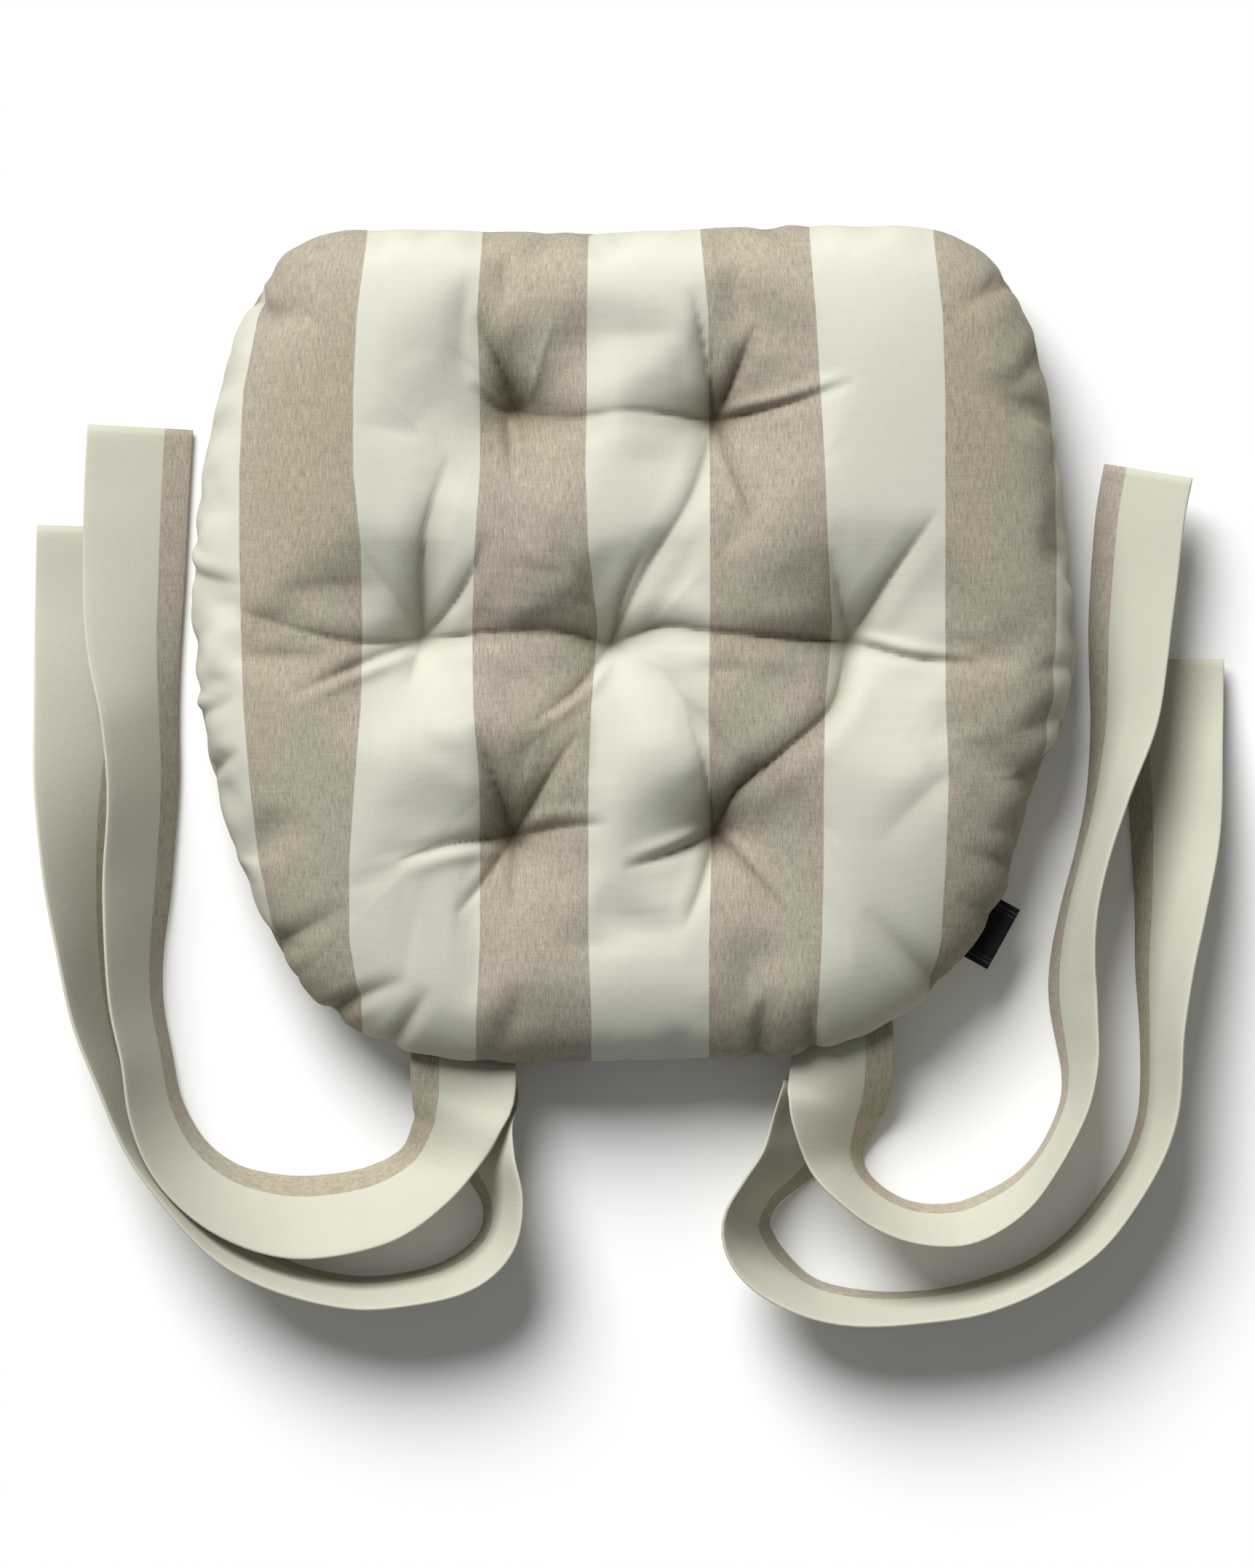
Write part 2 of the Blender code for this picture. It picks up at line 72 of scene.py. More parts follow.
# Folds in the upper panel: depth, half width, which side stands proud (1 is left of the fold's
# direction, -1 right, 0 neither), and the fold's run. A negative depth is a ridge.
FOLDS_FROM_TUFTS = [
    (6, 4.5, 0, [(-51.8, 104.8), (-59.8, 126.2), (-69.1, 147.5)]),
    (-2.5, 5, 0, [(-47.5, 108.8), (-41.1, 126.2), (-34.4, 147.5)]),
    (1.5, 3, 0, [(-51.8, 104.8), (-67.8, 120.8), (-83.8, 134.2)]),
    (3.6, 2.6, 0, [(-51.8, 104.8), (-61, 106.5), (-71.5, 117)]),
    (3.8, 2.2, 1, [(-58, 104), (-55.5, 92), (-53.4, 72.8)]),
    (4, 5.5, 0, [(-51.8, 104.8), (-27.7, 101.1), (1.6, 103.2), (37.6, 100.8)]),
    (5, 3.4, 0, [(37.6, 100.8), (32.3, 128.8), (25.6, 158.2)]),
    (5.4, 3.4, 0, [(37.6, 100.8), (45.6, 120.8), (55, 143.5)]),
    (4, 2.2, 1, [(37.6, 100.8), (68.3, 106.9), (99, 116)]),
    (3.4, 3.6, 0, [(37.6, 100.8), (29.6, 75.5), (20.3, 55.5), (4.3, 30.1), (-10.4, -0.6)]),
    (3, 2.4, -1, [(37.6, 100.8), (47, 72.8), (58.2, 44.8)]),
    (5.5, 5.6, 0, [(-95.8, 2.1), (-93.9, 30.1), (-91.2, 55.5), (-80.6, 86.1)]),
    (4, 3.4, 0, [(-95.8, 2.1), (-81.1, 16.8), (-69.9, 35.4), (-65.1, 51.5)]),
    (3.5, 4, 0, [(-95.8, 2.1), (-123.8, 0.2), (-150.5, 6.9), (-177.1, 16.8)]),
    (3.2, 2.6, 1, [(-95.8, 2.1), (-123.8, -9.9), (-155.8, -25.9)]),
    (1.5, 2.5, 0, [(-95.8, 2.1), (-107.8, 22.1), (-121.7, 44)]),
    (2.2, 2.6, 0, [(-95.8, 2.1), (-98.4, -8.6), (-101.6, -20.6)]),
    (5, 4.2, 0, [(-10.4, -0.6), (-30.4, 4.2), (-51.8, 5.3), (-75.8, 2.9), (-95.8, 2.1)]),
    (3.6, 3.8, 0, [(-10.4, -0.6), (-5.1, 19.4), (4.3, 40.8)]),
    (1.2, 2.5, 0, [(-10.4, -0.6), (-21.1, 22.1), (-30.9, 44)]),
    (3, 2.4, 1, [(-10.4, -0.6), (-25.1, -20.6), (-46.9, -37.4)]),
    (6.2, 5, 0, [(-10.4, -0.6), (12.3, 6.9), (36.3, 4.8), (65.6, 2.4), (97.7, 0.8)]),
    (3.5, 3.6, 0, [(97.7, 0.8), (92.3, 22.1), (87.8, 41.3)]),
    (4, 4, 0, [(97.7, 0.8), (114.2, 28), (135.5, 60)]),
    (3.6, 2.2, 1, [(97.7, 0.8), (124.3, -6.4), (155, -9.1)]),
    (6, 5, 0, [(97.7, 0.8), (90.2, -25.9), (68.3, -47.3), (45.6, -65.9), (37.6, -87.3)]),
    (5, 4.6, 0, [(-54.4, -88.6), (-62.4, -61.9), (-71, -36.1)]),
    (4, 3.6, 0, [(-54.4, -88.6), (-39.7, -63.3), (-24.5, -38.7)]),
    (4, 3, 1, [(-54.4, -88.6), (-81.1, -89.4), (-106.4, -97.4)]),
    (2.6, 2.2, 0, [(-54.4, -88.6), (-66.4, -106), (-79.5, -120.9)]),
    (2, 3, 0, [(-54.4, -88.6), (-53.9, -108.6), (-54.4, -126)]),
    (3.4, 3, 1, [(-54.4, -88.6), (-33.1, -82.5), (-10.4, -80.1)]),
    (4, 4.2, 0, [(37.6, -87.3), (31, -55.3), (22.4, -24.6)]),
    (4, 2.6, -1, [(37.6, -87.3), (17.6, -93.9), (-5.1, -99.8)]),
    (3, 2.6, 0, [(37.6, -87.3), (30.2, -108.6), (20.8, -128.9)]),
    (3, 2, 1, [(37.6, -87.3), (52.3, -103.3), (66.7, -120.9)]),
]
FOLDS_FROM_EDGE = [
    (2.6, 3.2, 1, [(-205.2, 38.1), (-193.2, 30.1), (-171.8, 26.9)]),
    (2.6, 3, 1, [(-206.5, -35.3), (-193.2, -31.3), (-177.1, -25.4)]),
    (2.6, 3, 0, [(-199.8, -60.1), (-187.8, -55.3), (-174.5, -47.3)]),
    (3, 3.4, 0, [(-177.7, 160.8), (-165.1, 151.5), (-160.6, 138.2)]),
    (3.2, 4.2, 0, [(184.4, 171.5), (164.4, 159.5), (141.7, 147.5)]),
    (2.8, 3.4, 0, [(191, 140.8), (179.8, 126.2), (171, 114.2)]),
    (2.2, 3.8, 0, [(207, -9.9), (191, -9.9), (172.4, -12.6)]),
    (2.6, 4.8, 0, [(191, -52), (173, -60), (150, -60)]),
    (2.6, 4.4, 0, [(179, -103), (164.3, -98.3), (146, -92)]),
    (3.4, 4.2, 0, [(-174.5, -137.4), (-155.8, -132.6), (-126.5, -115.3)]),
    (3.2, 3.4, 0, [(-134.5, -165.2), (-121.1, -156.6), (-99.8, -147.3)]),
    (3, 3.2, 0, [(-113.1, -183.3), (-102.4, -170), (-90.4, -151.8)]),
    (2.6, 3.6, 0, [(55.5, -186), (57.6, -167.3), (61.4, -151.3)]),
    (2.6, 3.2, 0, [(81.6, -183.3), (79.5, -171.3), (80.6, -158)]),
    (2.2, 5, 0, [(135, -151.3), (115, -130.8), (101.7, -116.6)]),
    (1.7, 6, 0, [(134.5, -61.4), (119, -77), (106.2, -91.3)]),
    (2, 4.6, 0, [(190, -33), (175.3, -37.5), (165, -38)]),
    (1.6, 4.6, 0, [(166, -124), (152.7, -118), (143, -112)]),
    (1.8, 4, 0, [(-22.4, 196.9), (-19.2, 182.2), (-11.7, 168.8)]),
    (1.6, 4, 0, [(57.6, 198.2), (68.3, 179.5), (84.3, 166.2)]),
]

# Where each stripe's edge runs across the upper panel: x at each of the y stations.
STRIPE_STATIONS = [186.4, 150.6, 114.9, 79.1, 43.3, 7.5, -28.3, -64.1, -99.9, -135.7, -171.5]
STRIPE_EDGES = [
    [-162.8, -170.7, -177.9, -179.7, -179.7, -179, -177.9, -175, -170.7, -162.8, -148.5],
    [-121.3, -126, -127.8, -127.8, -124.2, -123.5, -124.2, -127.1, -129.6, -129.6, -123.5],
    [-68.7, -71.2, -69.8, -69.8, -72.3, -73.4, -73, -70.1, -69.8, -69.8, -71.6],
    [-20.4, -21.1, -21.1, -21.8, -20.4, -16.1, -19, -20.4, -20.4, -20.4, -19],
    [30.8, 34.4, 34.7, 35.1, 35.1, 35.1, 34.4, 35.1, 35.8, 34.7, 34.7],
    [80.6, 83.4, 85.6, 87.7, 89.1, 90.9, 87.7, 87, 87, 86.3, 84.1],
    [137.1, 141.4, 142.5, 142.5, 142.5, 142.5, 142.8, 144.3, 142.8, 140.7, 133.5],
    [178.6, 185.4, 190.1, 192.6, 193.3, 193.3, 191.5, 185.4, 180.1, 172.9, 165],
]
STRIPE_PITCH = 0.0531

# ---- The ties, in metres ----
TIE_HINGES = {
    "left": ((-0.07743, -0.19032), (0.99756, -0.06976)),
    "right": ((0.09545, -0.1813), (0.96126, 0.27564)),
}
TIE_WIDTH = 0.0485
TIE_THICK = 0.0016
TIE_GAP = 0.0003
TIE_BEND = 0.028  # how far behind the seam a tie has done bending when it is folded
TIE_INSET = 0.0075  # how far inside its fold line a tie begins
TIE_STEP = 0.0035
TIE_FIRST_EDGE = 0.0131  # in from a tie's edge to its first stripe's edge
UPPER_TIE_CLOTH = 0.31  # how far along the cloth the upper ties are cut
# A tie's route: x and y of its middle, then the width seen from above. Where a strip turns, it
# stands up leaning outwards on its inner edge, so less of its width is seen.
TIE_ROUTES = {
    "tie_left_lower": [
        (-0.0763, -0.2060, 0.0483), (-0.0745, -0.2160, 0.0450), (-0.0718, -0.2250, 0.0370),
        (-0.0655, -0.2380, 0.0250),
        (-0.0592, -0.2550, 0.0190), (-0.0620, -0.2730, 0.0170), (-0.0760, -0.2870, 0.0165),
        (-0.0980, -0.2950, 0.0150), (-0.1290, -0.2970, 0.0140), (-0.1640, -0.2880, 0.0140),
        (-0.1960, -0.2660, 0.0150), (-0.2240, -0.2310, 0.0150), (-0.2410, -0.1900, 0.0165),
        (-0.2500, -0.1500, 0.0220), (-0.2540, -0.1080, 0.0310), (-0.2545, -0.0740, 0.0385),
        (-0.2515, -0.0350, 0.0450), (-0.2500, 0.0100, 0.0480), (-0.2490, 0.0541, 0.0485),
    ],
    "tie_left_upper": [
        (-0.0775, -0.2060, 0.0474), (-0.0797, -0.2150, 0.0430), (-0.0830, -0.2250, 0.0375),
        (-0.0950, -0.2430, 0.0320),
        (-0.1170, -0.2570, 0.0360), (-0.1440, -0.2625, 0.0380), (-0.1660, -0.2610, 0.0365),
        (-0.1880, -0.2530, 0.0320), (-0.2060, -0.2370, 0.0275), (-0.2180, -0.2140, 0.0245),
        (-0.2230, -0.1880, 0.0230), (-0.2275, -0.1640, 0.0240), (-0.2285, -0.1400, 0.0265),
        (-0.2265, -0.1100, 0.0300), (-0.2245, -0.0650, 0.0320), (-0.2260, -0.0350, 0.0350),
        (-0.2285, -0.0050, 0.0420), (-0.2285, 0.0300, 0.0465), (-0.2275, 0.0650, 0.0480),
        (-0.2257, 0.0995, 0.0485),
    ],
    "tie_right_lower": [
        (0.0942, -0.1985, 0.0485), (0.0905, -0.2090, 0.0481), (0.0840, -0.2190, 0.0430),
        (0.0700, -0.2370, 0.0270),
        (0.0580, -0.2500, 0.0210), (0.0510, -0.2640, 0.0225), (0.0540, -0.2770, 0.0240),
        (0.0640, -0.2890, 0.0220), (0.0790, -0.2985, 0.0170), (0.0970, -0.3030, 0.0150),
        (0.1200, -0.3045, 0.0140), (0.1440, -0.3025, 0.0140), (0.1640, -0.2975, 0.0145),
        (0.1850, -0.2890, 0.0140), (0.2050, -0.2745, 0.0145), (0.2210, -0.2555, 0.0150),
        (0.2330, -0.2370, 0.0155), (0.2395, -0.2190, 0.0165), (0.2420, -0.2000, 0.0180),
        (0.2425, -0.1750, 0.0200), (0.2430, -0.1480, 0.0250), (0.2460, -0.1210, 0.0320),
        (0.2480, -0.0940, 0.0390), (0.2485, -0.0700, 0.0430), (0.2470, -0.0380, 0.0465),
        (0.2467, -0.0070, 0.0480),
    ],
    "tie_right_upper": [
        (0.0948, -0.1980, 0.0482), (0.0935, -0.2080, 0.0462), (0.0920, -0.2180, 0.0400),
        (0.0925, -0.2350, 0.0270),
        (0.1000, -0.2480, 0.0190), (0.1140, -0.2595, 0.0175), (0.1300, -0.2655, 0.0180),
        (0.1490, -0.2655, 0.0185), (0.1650, -0.2590, 0.0170), (0.1785, -0.2500, 0.0145),
        (0.1890, -0.2380, 0.0120), (0.1965, -0.2250, 0.0115), (0.2025, -0.2100, 0.0125),
        (0.2045, -0.1960, 0.0155), (0.2040, -0.1840, 0.0185), (0.2012, -0.1627, 0.0205),
        (0.2010, -0.1440, 0.0185), (0.2045, -0.1210, 0.0160), (0.2110, -0.0940, 0.0150),
        (0.2175, -0.0700, 0.0190), (0.2240, -0.0380, 0.0285), (0.2265, -0.0080, 0.0350),
        (0.2280, 0.0140, 0.0380), (0.2320, 0.0550, 0.0405), (0.2360, 0.0790, 0.0405),
    ],
}

SEAM_HEIGHT = 0.028
MM = 0.001
TUFT_HOLD = 0.011  # how far round a tuft its twine holds the cloth
TUFT_SEWN = 0.0045  # how far round a tuft the cloth can't move
GATHER_SEED = 7
EYE_DISTANCE = 6.0  # from the seam up to the camera
VIEW_WIDTH = 0.7158
FLOOR_REACH = 6.0
SIM_CELLS = 72
SIM_STEPS = 20


# ---- Settings a user would change ----
def colour(name, description, default):
    return bpy.props.FloatVectorProperty(
        name=name, description=description, default=default, size=3, min=0.0, max=1.0,
        subtype="COLOR")


def length(name, description, default):
    return bpy.props.FloatProperty(
        name=name, description=description, default=default, min=0.0, unit="LENGTH",
        subtype="DISTANCE", precision=4)


class PadSettings(bpy.types.PropertyGroup):
    crown: length("Crown", "Height of the upper panel's crown before the filling swells it",
                  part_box("cover_top")[1].z - 0.0045)
    edge_power: bpy.props.FloatProperty(
        name="Edge", description="How flat the pad stays before it turns down to its seam",
        default=4.6, min=1.0)
    tuft_depth: length("Tuft depth", "How far a tuft draws the upper panel down", 0.033)
    pinch: length("Pinch", "How far a tuft draws the underside up", 0.0045)
    swell: length("Swell", "The furthest that the filling may push a panel out", 0.006)
    cells: bpy.props.IntProperty(
        name="Cells", description="Cells across a panel", default=304, min=40)


class CanvasSettings(bpy.types.PropertyGroup):
    cream: colour("Cream", "Colour of the light stripes", (0.603, 0.598, 0.508))
    taupe: colour("Taupe", "Colour of the dark stripes", (0.385, 0.352, 0.285))
    # The ties' cream is the pad's cream made darker: painted shade on the ties.
    tie_cream: colour("Tie cream", "Colour of the ties' wide stripe", (0.525, 0.518, 0.425))
    thread: length("Thread", "Distance from one warp thread to the next", 0.00105)


class TrimSettings(bpy.types.PropertyGroup):
    fibre: colour("Fibre", "Colour of the filling", (0.86, 0.86, 0.83))
    sewing: colour("Sewing thread", "Colour of the seams", (0.60, 0.56, 0.47))
    twine: colour("Twine", "Colour of the tufting twine", (0.55, 0.52, 0.43))
    tag: colour("Tag", "Colour of the woven tag", (0.005, 0.005, 0.006))
    tag_mark: colour("Tag lines", "Colour of the lines woven into the tag", (0.11, 0.11, 0.115))


class StageSettings(bpy.types.PropertyGroup):
    floor: colour("Floor", "Colour of the floor", (0.93, 0.93, 0.93))
    key: bpy.props.FloatProperty(
        name="Key light", description="Strength of the soft key light", default=4.3, min=0.0)
    fill: bpy.props.FloatProperty(
        name="Ambient light", description="Strength of the light from all round",
        default=0.17, min=0.0)


# ---- Materials ----
class Signal:
    """A socket whose arithmetic adds Math nodes to its tree."""

    def __init__(self, tree, socket):
        self.tree = tree
        self.socket = socket

    def maths(self, operation, *values):
        node = self.tree.nodes.new("ShaderNodeMath")
        node.operation = operation
        for slot, value in zip(node.inputs, values):
            plug(self.tree, slot, value)
        return Signal(self.tree, node.outputs[0])

    def __add__(self, other):
        return self.maths("ADD", self, other)

    __radd__ = __add__

    def __sub__(self, other):
        return self.maths("SUBTRACT", self, other)

    def __rsub__(self, other):
        return self.maths("SUBTRACT", other, self)

    def __mul__(self, other):
        return self.maths("MULTIPLY", self, other)

    __rmul__ = __mul__

    def __truediv__(self, other):
        return self.maths("DIVIDE", self, other)

    def sine(self):
        return self.maths("SINE", self)

    def size(self):
        return self.maths("ABSOLUTE", self)

    def whole(self):
        return self.maths("FLOOR", self)

    def bounce(self, span):
        return self.maths("PINGPONG", self, span)

    def within(self, low=0.0, high=1.0):
        return self.maths("MAXIMUM", self.maths("MINIMUM", self, high), low)


def plug(tree, slot, value):
    if isinstance(value, Signal):
        tree.links.new(value.socket, slot)
    elif isinstance(value, bpy.types.NodeSocket):
        tree.links.new(value, slot)
    elif slot.type == "RGBA" and len(value) == 3:
        slot.default_value = (*value, 1.0)
    else:
        slot.default_value = value


def tinted(tone, factor):
    return tuple(c * factor for c in tone)


class Finish:
    """A material being made from nodes."""

    def __init__(self, name):
        self.material = bpy.data.materials.new(name)
        self.material.use_nodes = True
        self.tree = self.material.node_tree
        self.tree.nodes.clear()

    def node(self, kind, settings=None, inputs=None):
        """Add a node: its settings first, then the values or links of its sockets."""
        made = self.tree.nodes.new("ShaderNode" + kind)
        for key, value in (settings or {}).items():
            if key == "stops":
                for i, (place, shade) in enumerate(value):
                    stops = made.color_ramp.elements
                    stop = stops[i] if i < 2 else stops.new(place)
                    stop.position = place
                    stop.color = (*shade, 1.0)
            else:
                setattr(made, key, value)
        for key, value in (inputs or {}).items():
            plug(self.tree, made.inputs[key], value)
        return made

    def signal(self, node, output=0):
        return Signal(self.tree, node.outputs[output])

    def split(self, vector):
        """The three parts of a vector."""
        parts = self.node("SeparateXYZ", None, {"Vector": vector})
        return [self.signal(parts, i) for i in range(3)]

    def spot(self):
        return self.node("TexCoord").outputs["Object"]

    def attribute(self, name, output):
        return self.signal(self.node("Attribute", {"attribute_name": name}), output)

    def noise(self, vector, scale, detail=3.0, roughness=0.5):
        made = self.node("TexNoise", None, {
            "Vector": vector, "Scale": scale, "Detail": detail, "Roughness": roughness})
        return self.signal(made)

    def place(self, x, y, z=0.0):
        return self.signal(self.node("CombineXYZ", None, {"X": x, "Y": y, "Z": z}))

    def mix(self, factor, first, second, blend="MIX"):
        made = self.node("Mix", {"data_type": "RGBA", "blend_type": blend}, {
            0: factor, 6: first, 7: second})
        return self.signal(made, 2)

    def bump(self, height, strength, distance, normal=None):
        inputs = {"Height": height, "Strength": strength, "Distance": distance}
        if normal is not None:
            inputs["Normal"] = normal
        return self.signal(self.node("Bump", None, inputs))

    def surface(self, **sockets):
        """Close the material with a Principled shader; sockets are named with underscores."""
        shader = self.node("BsdfPrincipled", None, {
            key.replace("_", " "): value for key, value in sockets.items()})
        self.node("OutputMaterial", None, {"Surface": shader.outputs[0]})
        return self.material


def striped_canvas(name, canvas, light):
    """Plain-woven striped canvas, laid out by its "stripe" and "weave" attributes."""
    finish = Finish(name)
    stripe = finish.attribute("stripe", "Fac")
    across, along, _ = finish.split(finish.attribute("weave", "Vector"))
    warp = across / canvas.thread
    weft = along / (canvas.thread * 0.94)

    # Plain weave: each thread has its own shade, and passes over and under its neighbours.
    warp_row, weft_row = warp.whole(), weft.whole()
    crossing = ((warp * math.pi).sine() * (weft * math.pi).sine()).size()

    def mottle(x, y, layer=0.0, detail=1.0, roughness=0.5):
        return finish.noise(finish.place(x, y, layer), 1.0, detail, roughness)

    warp_shade = mottle(warp_row * 3.7, weft_row * 0.11)
    weft_shade = mottle(warp_row * 0.09, weft_row * 3.7, 3.1)
    slub = mottle(across * 1700.0, along * 190.0, 0.0, 3.0, 0.6)
    nep = mottle(across * 1900.0, along * 800.0, 5.0)
    cloud = mottle(across * 11.0, along * 9.0, 1.7, 2.0)
    tint = mottle(across * 17.0, along * 9.0, 8.3, 2.0)

    # Stripes change colour at a warp thread.
    turn = (stripe + 0.5).bounce(1.0)
    is_taupe = ((turn - 0.5) * 120.0 + 0.5).within()

    taupe = canvas.taupe
    fleck = (slub * 0.80 + warp_shade * 0.26 + weft_shade * 0.16 - 0.11).within()
    melange = finish.signal(finish.node("ValToRGB", {"stops": [
        (0.20, (taupe[0] * 0.56, taupe[1] * 0.55, taupe[2] * 0.56)),
        (0.84, (taupe[0] * 1.38, taupe[1] * 1.38, taupe[2] * 1.34)),
        (0.52, tuple(taupe))]}, {"Fac": fleck}))
    straw = finish.mix(((tint - 0.36) * 3.0).within(), melange,
                       (1.035, 1.01, 0.935), "MULTIPLY")
    rosy = finish.mix(((0.56 - tint) * 3.0).within(), straw,
                      (1.02, 0.97, 0.99), "MULTIPLY")
    flecked = finish.mix(((nep - 0.62) * 9.0).within(0.0, 0.45), rosy,
                         (0.42, 0.40, 0.38), "MULTIPLY")
    cream = finish.mix((warp_shade * 0.45 + weft_shade * 0.45 + 0.05).within(),
                       tinted(light, 0.955), tinted(light, 1.045))
    base = finish.mix(is_taupe, cream, flecked)
    pits = (crossing - 0.5) * (0.05 + 0.06 * is_taupe) + (cloud - 0.5) * 0.07 + 0.985
    shade = finish.signal(finish.node("CombineColor", None, {0: pits, 1: pits, 2: pits}))
    before_painted_shade = finish.mix(1.0, base, shade, "MULTIPLY")
    # Painted shade: folds, tuft centres and the rim are darkened towards a warm grey by this point
    # attribute.
    painted_shade = finish.attribute("painted_shade", "Fac")
    woven = finish.mix((painted_shade * 0.85).within(), before_painted_shade, (0.46, 0.43, 0.38), "MULTIPLY")

    fine = finish.bump(crossing * 0.6 + slub * 0.5, 0.40, 0.00018)
    soft = finish.bump(cloud, 0.30, 0.002, fine)
    return finish.surface(
        Base_Color=woven, Roughness=0.88 + (slub - 0.5) * 0.16, Normal=soft,
        Sheen_Weight=0.06, Sheen_Roughness=0.5, Specular_IOR_Level=0.12)


def fibre_fill(name, trim):
    finish = Finish(name)
    tangle = finish.noise(finish.spot(), 420.0, 6.0, 0.7)
    tone = finish.mix(tangle, tinted(trim.fibre, 0.82), tuple(trim.fibre))
    return finish.surface(Base_Color=tone, Roughness=0.95, Normal=finish.bump(tangle, 0.8, 0.001))


def spun_thread(name, tone, pitch):
    """Twisted thread: a fine slanting ribbing over a mottled colour."""
    finish = Finish(name)
    x, y, z = finish.split(finish.spot())
    twist = ((x + y + z * 0.8) * (math.tau / pitch)).sine()
    fuzz = finish.noise(finish.spot(), 2500.0, 3.0)
    shade = finish.mix((twist * 0.25 + fuzz * 0.7).within(),
                       tinted(tone, 0.6), tuple(tone))
    return finish.surface(Base_Color=shade, Roughness=0.75,
                          Normal=finish.bump(twist, 0.5, pitch * 0.15))


def woven_tag(name, trim):
    """Near-black damask with two plain paler lines along each end."""
    finish = Finish(name)
    across, along, _ = finish.split(finish.attribute("weave", "Vector"))
    ribs = (along * (math.tau / 0.00045)).sine() * 0.5 + 0.5
    picks = (across * (math.tau / 0.00060)).sine() * 0.5 + 0.5
    off_middle = across.size()
    outer_line = (off_middle - 0.0128).size()
    inner_line = (off_middle - 0.0108).size()
    on_line = (1.0 - (outer_line / 0.00035)).within()
    on_line = on_line + (1.0 - (inner_line / 0.0002)).within()
    tone = finish.mix((on_line * (0.55 + ribs * 0.45)).within(), tuple(trim.tag),
                      tuple(trim.tag_mark))
    return finish.surface(
        Base_Color=tone, Roughness=0.62 + picks * 0.12,
        Normal=finish.bump(ribs * 0.6 + picks * 0.4, 0.5, 0.00012), Specular_IOR_Level=0.25)


def floor_paint(name, stage):
    finish = Finish(name)
    grain = finish.noise(finish.spot(), 60.0, 2.0)
    tone = finish.mix(grain, tinted(stage.floor, 0.99), tuple(stage.floor))
    return finish.surface(Base_Color=tone, Roughness=0.95, Specular_IOR_Level=0.1)


def shared(name, make, *settings):
    """The material of that name, made once."""
    return bpy.data.materials.get(name) or make(name, *settings)


# ---- Curves and grids ----
def smooth_curve(points, samples_per_span):
    """Catmull-Rom curve through the points, which may have any number of coordinates."""
    count = len(points)
    curve = []
    for i in range(count - 1):
        p0, p1, p2, p3 = (points[min(max(i + k, 0), count - 1)] for k in (-1, 0, 1, 2))
        for j in range(samples_per_span):
            t = j / samples_per_span
            curve.append(tuple(
                0.5 * (2 * b + (c - a) * t + (2 * a - 5 * b + 4 * c - d) * t ** 2
                       + (3 * b - a - 3 * c + d) * t ** 3)
                for a, b, c, d in zip(p0, p1, p2, p3)))
    curve.append(tuple(points[-1]))
    return curve


def even_steps(curve, step):
    """Points spaced evenly by length along a curve, using its first two coordinates."""
    curve = np.array(curve)
    run = np.concatenate([[0.0], np.cumsum(np.linalg.norm(np.diff(curve[:, :2], axis=0), axis=1))])
    count = round(run[-1] / step) + 1
    at = np.linspace(0.0, run[-1], count)
    return np.stack([np.interp(at, run, curve[:, k]) for k in range(curve.shape[1])], axis=1), at


def cubic_weights(coarse, fine):
    """Matrix that carries values on a coarse row of cells to a fine row, smoothly."""
    at = np.linspace(0.0, coarse, fine + 1)
    cell = np.clip(at.astype(int), 0, coarse - 1)
    t = at - cell
    weights = np.zeros((fine + 1, coarse + 1))
    spans = ((-1, -0.5 * t + t ** 2 - 0.5 * t ** 3), (0, 1 - 2.5 * t ** 2 + 1.5 * t ** 3),
             (1, 0.5 * t + 2 * t ** 2 - 1.5 * t ** 3), (2, -0.5 * t ** 2 + 0.5 * t ** 3))
    for shift, share in spans:
        np.add.at(weights, (np.arange(fine + 1), np.clip(cell + shift, 0, coarse)), share)
    return weights


def seam_outline():
    """The pad's seam line from its frame: angle and radius, closed."""
    co = np.array([v.co for v in frame["nodes"]["cover_top"].data.vertices])
    low = co[np.abs(co[:, 2] - co[:, 2].min()) < 0.0002]
    reach = np.hypot(low[:, 0], low[:, 1])
    angle = np.arctan2(low[:, 1], low[:, 0])
    order = np.argsort(angle)
    angle, reach = angle[order], reach[order]
    kept = [i for i in range(len(angle))
            if reach[i] >= reach[np.abs(angle - angle[i]) < 0.02].max() - 0.004]
    angle, reach = angle[kept], reach[kept]
    _, first = np.unique(np.round(angle, 4), return_index=True)
    angle, reach = angle[first], reach[first]
    ring = [(a, r) for a, r in zip(angle, reach)]
    ring = ring[-3:] + ring + ring[:3]
    turns = [-math.tau] * 3 + [0.0] * len(angle) + [math.tau] * 3
    curve = smooth_curve([(a + turn, r) for (a, r), turn in zip(ring, turns)], 10)
    return np.array(curve)


OUTLINE = seam_outline()


def seam_reach(angle):
    return np.interp(angle, OUTLINE[:, 0], OUTLINE[:, 1])


def run_distance(x, y, run):
    """Signed distance to a run of points, how far along it, and its whole length."""
    best = np.full(x.shape, 1e9)
    signed = np.zeros(x.shape)
    along = np.zeros(x.shape)
    start = 0.0
    for (ax, ay), (bx, by) in zip(run, run[1:]):
        dx, dy = bx - ax, by - ay
        span = math.hypot(dx, dy)
        t = np.clip(((x - ax) * dx + (y - ay) * dy) / span ** 2, 0.0, 1.0)
        off_x, off_y = x - ax - t * dx, y - ay - t * dy
        gap = np.hypot(off_x, off_y)
        near = gap < best
        side = np.sign(dx * off_y - dy * off_x)
        best = np.where(near, gap, best)
        signed = np.where(near, gap * side, signed)
        along = np.where(near, start + t * span, along)
        start += span
    return signed, along, start


